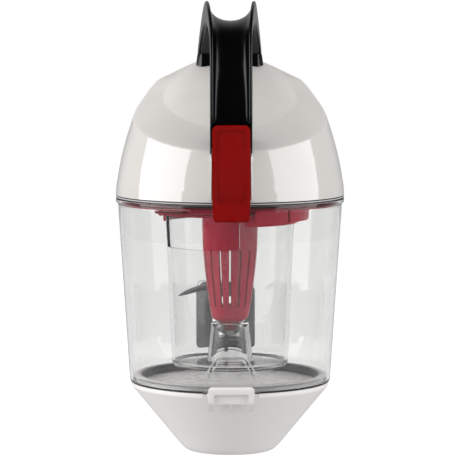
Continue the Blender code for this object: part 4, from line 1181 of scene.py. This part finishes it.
DOOR_RIM_TOP, DOOR_RIM_RADIUS, DOOR_FLAT_RADIUS, DOOR_WALL = 50.5, 71.6, 29.0, 2.2
FLOOR_TOP, FLOOR_BOTTOM, FLOOR_RADIUS = 49.9, 48.3, 69.0


def floor_screw_places(low, high):
    """Plan position and the two given heights for each screw of the floor plate."""
    return [(*plan_centre("floor_screw_%d" % i), low, high) for i in (1, 2, 3)]


def bottom_door():
    """White cone with a flat base, a hinge knuckle, latch horns and screw bosses inside."""
    inner = DOOR_RIM_RADIUS - DOOR_WALL
    obj = turned("white_door", (
        (0, DOOR_WALL, 0), (DOOR_FLAT_RADIUS - 0.5, DOOR_WALL, 3.0), (35.0, 7.6, 3.0),
        (inner, 46.4, 2.0), (inner, DOOR_RIM_TOP, 0.4), (DOOR_RIM_RADIUS, DOOR_RIM_TOP, 0.6),
        (DOOR_RIM_RADIUS, 47.7, 1.6), (35.3, 3.5, 2.6), (31.8, 0.7, 1.6),
        (DOOR_FLAT_RADIUS, 0, 1.2), (0, 0, 0)), 4, closed=False, reach=7.0)
    core = lathe("core", ((0, 55), (70.6, 55), (70.6, 47.0), (36.6, 7.6), (0, 6.6)))
    _, y, z = PIVOT["door_hinge"]
    knuckle = [(66.0, 50.4), (66.0, 44.0), (74.0, 47.0)] + arc((y, z), 3.8, 235, 525, 24)
    ear = prism("knuckle", knuckle, -17.5, 17.5, "x", 0.4)
    _, latch_y, latch_z = PIVOT["door_release"]
    horn = [(-64.0, 44.0), (-64.0, 49.8), (-70.0, 49.8)]
    horn += arc((latch_y, latch_z), 1.8, 92, 268, 16)
    horns = merged("horns", [prism("horn", horn, x, x + 3.2, "x") for x in (-12.2, 9.0)])
    for tool in (ear, horns):
        cut(tool, core, keep=True)
        join(obj, tool)
    for x, y, low, high in floor_screw_places(20, 47.9):
        boss = rod("boss", (x, y, low), (x, y, high), 4.2)
        keep_inside(boss, core, keep=True)
        join(obj, boss)
    discard(core)
    cut(obj, pin_bore("door_hinge", HINGE_BORE))
    cut(obj, merged("bores", [rod("bore", (x, latch_y, latch_z), (x + 5, latch_y, latch_z), 1.1)
                              for x in (-13, 8)]))
    cut(obj, screw_bores(floor_screw_places(37, 49)))
    even_shading(obj)
    dress(obj, "door", "white_plastic", "bottom_door", CONE_WHITE)


def door_floor_plate():
    obj = turned("grey_floor", (
        (0, FLOOR_TOP, 0), (FLOOR_RADIUS, FLOOR_TOP, 0.4), (FLOOR_RADIUS, FLOOR_BOTTOM, 0.4),
        (0, FLOOR_BOTTOM, 0)), closed=False, reach=6.0)
    cut(obj, screw_bores(floor_screw_places(46, 52)))
    even_shading(obj)
    dress(obj, "door", "light_grey_plastic", "door_floor_plate", LIGHT_GREY)


def door_seal():
    obj = turned("door_seal_ring", (
        (67.6, 56.4, 0.5), (70.2, 55.4, 0.4), (68.0, 54.0, 0.6), (68.0, 51.65, 0.2),
        (72.3, 51.65, 0.3), (72.3, 50.85, 0.3), (68.0, 50.85, 0.2), (68.0, 50.2, 0.2),
        (64.0, 50.2, 0.3), (64.0, 55.4, 0.8), (65.4, 56.4, 0.8)), 4)
    dress(obj, "door", "rubber_seal", "door_seal", SEAL_GREY_AND_SHADE, RUBBER_AND_GAP_SHADOW, SEAL_PALE_AND_LIT)
    # The one rubber ring is given painted light and shade by face: faces turned inwards take the
    # darker grey as painted shade, the flange in the gap under the bin takes black as a painted
    # shadow line, and the other faces take the pale rubber as their lit colour
    for face in obj.data.polygons:
        place = face.center
        inward = face.normal.xy.dot(place.xy.normalized()) < -0.6
        shadow_gap_flange = place.xy.length > 69 * MM and place.z < 53 * MM
        face.material_index = 1 if shadow_gap_flange else 0 if inward else 2


def door_latch():
    """White latch: a rounded top bar over a shallow recess, with ribs fading down the cone."""
    half, top, foot = LATCH_HALF, 56.1, 38.0
    front = rounded(((-76.0, top, 0.6), (-78.6, top - 0.8, 1.2), (-78.6, 44.8, 1.4),
                     (-73.8, foot, 0.6), (-71.7, foot, 0.4), (-74.95, 45.2, 0.6),
                     (-74.95, 50.4, 0.3), (-74.4, 51.2, 0.3), (-74.4, top, 0.6)), 4)
    obj = prism("white_latch", front, -half, half, "x")
    wall = rounded(((-78.2, 51.0, 0.3), (-78.2, 45.2, 0.8), (-73.4, 38.4, 0.6),
                    (-70.6, 41.4, 0.6), (-71.0, 48.4, 0.4), (-74.6, 51.0, 0.4)), 3)
    walls = merged("walls", [prism("wall", wall, low, high, "x")
                             for low, high in ((-half, -12.9), (12.9, half))])
    join(obj, walls)
    outline = rounded(mirrored(((half, top, 3.4), (half, 46.0, 1.0),
                                (half - 0.6, foot, 1.5))), 6)
    keep_inside(obj, prism("outline", outline, -80, -65, "y"))
    cut(obj, prism("recess", rectangle_at((0, 47.9), (12.1, 3.1), 1.2), -80, -75.75, "y"))
    for low, high in ((-12.5, -7.7), (-6.3, -0.7), (0.7, 7.3), (8.7, 12.5)):
        bay = rounded(((low, 37.0, 0), (high, 37.0, 0), (high, 44.0, 0.8), (low, 44.0, 0.8)), 3)
        cut(obj, prism("bay", bay, -80, -60, "y"))
    cut(obj, pin_bore("door_release", PIN_BORE))
    soften(obj, 0.35, 42)
    dress(obj, "latch", "white_plastic", "door_latch", LATCH_WHITE)


# ---------------------------------------------------------------- assembly

dust_bin()
port_seal("inlet_seal", "bin", SEAL_GREY_AND_SHADE, (PORT_X, PORT_Z), (22.0, 22.0), (17.0, 17.0),
          PORT_FACE_Y)
hinge_pin("door_hinge_pin", "door_hinge", "bin")
separator_frame()
cone_grille()
cyclone_cup()
cup_seal()
cone_support()
inlet_hood()
swirl_vane()
mouth_gasket()
pleated_filter()
filter_frame()
foam_filter()
hinge_pin("lid_hinge_pin", "lid_hinge", "separator")
top_cover()
carry_handle()
lid_gasket()
outlet_grille()
port_seal("outlet_seal", "lid", RUBBER_AND_GAP_SHADOW, (0, OUTLET_Z), (29.0, 14.0), (25.5, 10.5),
          OUTLET_FACE_Y)
lid_release_lever()
hinge_pin("lever_pin", "lid_release", "lid")
coil_spring("lever_spring", "lid_release", "lid", 7.0, 1.4)
bottom_door()
door_floor_plate()
door_seal()
door_latch()
hinge_pin("latch_pin", "door_release", "door")
coil_spring("latch_spring", "door_release", "door", 12.0, 2.0)
for number in (1, 2, 3):
    pan_screw("grille_screw_%d" % number, "separator", STEEL)
    pan_screw("floor_screw_%d" % number, "door", PALE_STEEL, down=True)
for number in (1, 2, 3, 4):
    pan_screw("handle_screw_%d" % number, "lid", STEEL)


# ---------------------------------------------------------------- studio

def aim(obj, place, target):
    obj.location = place
    obj.rotation_euler = (Vector(target) - obj.location).to_track_quat("-Z", "Y").to_euler()


def softbox(name, place, target, size, power):
    lamp = bpy.data.lights.new(name, "AREA")
    lamp.shape = "RECTANGLE"
    lamp.size, lamp.size_y = size
    lamp.energy = power
    aim(in_scene(name, lamp), place, target)


def studio_floor():
    bm = bmesh.new()
    bmesh.ops.create_grid(bm, x_segments=8, y_segments=8, size=1.6)
    floor = plain_object("studio_floor", bm)
    material, nodes, links, shader = new_material("pale_sweep")
    tone = noise(nodes, links, 3.0)
    links.new(colours(nodes, links, tone.outputs["Fac"], (0.28,) * 3, (0.32,) * 3),
              shader.inputs["Base Color"])
    shader.inputs["Roughness"].default_value = 0.8
    shader.inputs["Emission Color"].default_value = (1, 1, 1, 1)
    shader.inputs["Emission Strength"].default_value = 0.84
    floor.data.materials.append(material)
    floor.visible_diffuse = False
    floor.visible_glossy = False


# Brightness of the surroundings: glints, light on matt surfaces, rays turned inside the clear
# parts, and what a glossy surface mirrors from behind the object
GLINT_LEVEL, ROOM_LEVEL, EDGE_LEVEL, BACKDROP_LEVEL = 0.02, 0.60, 0.45, 0.42


def studio_world():
    """White behind the object and through the clear parts, and a dim room otherwise."""
    world = bpy.data.worlds.new("studio")
    bpy.context.scene.world = world
    world.use_nodes = True
    nodes, links = world.node_tree.nodes, world.node_tree.links
    rays = nodes.new("ShaderNodeLightPath")

    def formula(operation, first, second, third=None):
        part = nodes.new("ShaderNodeMath")
        part.operation = operation
        for socket, value in zip(part.inputs, (first, second, third)):
            if isinstance(value, float):
                socket.default_value = value
            elif value is not None:
                links.new(value, socket)
        return part.outputs["Value"]

    bounced = formula("GREATER_THAN", rays.outputs["Diffuse Depth"], 0.5)
    turned = formula("ADD", rays.outputs["Diffuse Depth"], rays.outputs["Glossy Depth"])
    straight = formula("LESS_THAN", turned, 0.5)
    seen = formula("MAXIMUM", rays.outputs["Is Camera Ray"], rays.outputs["Is Transmission Ray"])
    seen = formula("MULTIPLY", seen, formula("MAXIMUM", straight, formula(
        "MULTIPLY", EDGE_LEVEL, formula("LESS_THAN", rays.outputs["Diffuse Depth"], 0.5))))
    place = nodes.new("ShaderNodeTexCoord")
    axes = nodes.new("ShaderNodeSeparateXYZ")
    links.new(place.outputs["Generated"], axes.inputs["Vector"])
    behind = nodes.new("ShaderNodeMapRange")
    behind.interpolation_type = "SMOOTHSTEP"
    behind.inputs["From Min"].default_value = 0.3
    behind.inputs["From Max"].default_value = 0.85
    behind.inputs["To Min"].default_value = GLINT_LEVEL
    behind.inputs["To Max"].default_value = BACKDROP_LEVEL
    links.new(axes.outputs["Y"], behind.inputs["Value"])
    glints = formula("MULTIPLY", formula("SUBTRACT", 1.0, formula("MAXIMUM", seen, bounced)),
                     behind.outputs["Result"])
    room = formula("MULTIPLY_ADD", bounced, ROOM_LEVEL, glints)
    links.new(formula("ADD", seen, room), nodes["Background"].inputs["Strength"])
    nodes["Background"].inputs["Color"].default_value = (1, 1, 1, 1)


studio_world()
studio_floor()
softbox("left_softbox", (-1.46, -0.36, 0.70), (0, 0, 0.16), (1.7, 1.5), 25)
softbox("right_softbox", (1.43, -0.46, 0.70), (0, 0, 0.16), (1.6, 1.5), 17)

camera = bpy.data.cameras.new("front_camera")
camera.lens = 221
camera.sensor_width = 36
camera_object = in_scene("front_camera", camera)
aim(camera_object, (-0.022, -2.038, 0.340), (0, 0, 0.160))
bpy.context.scene.camera = camera_object
bpy.context.scene.view_settings.view_transform = "Standard"
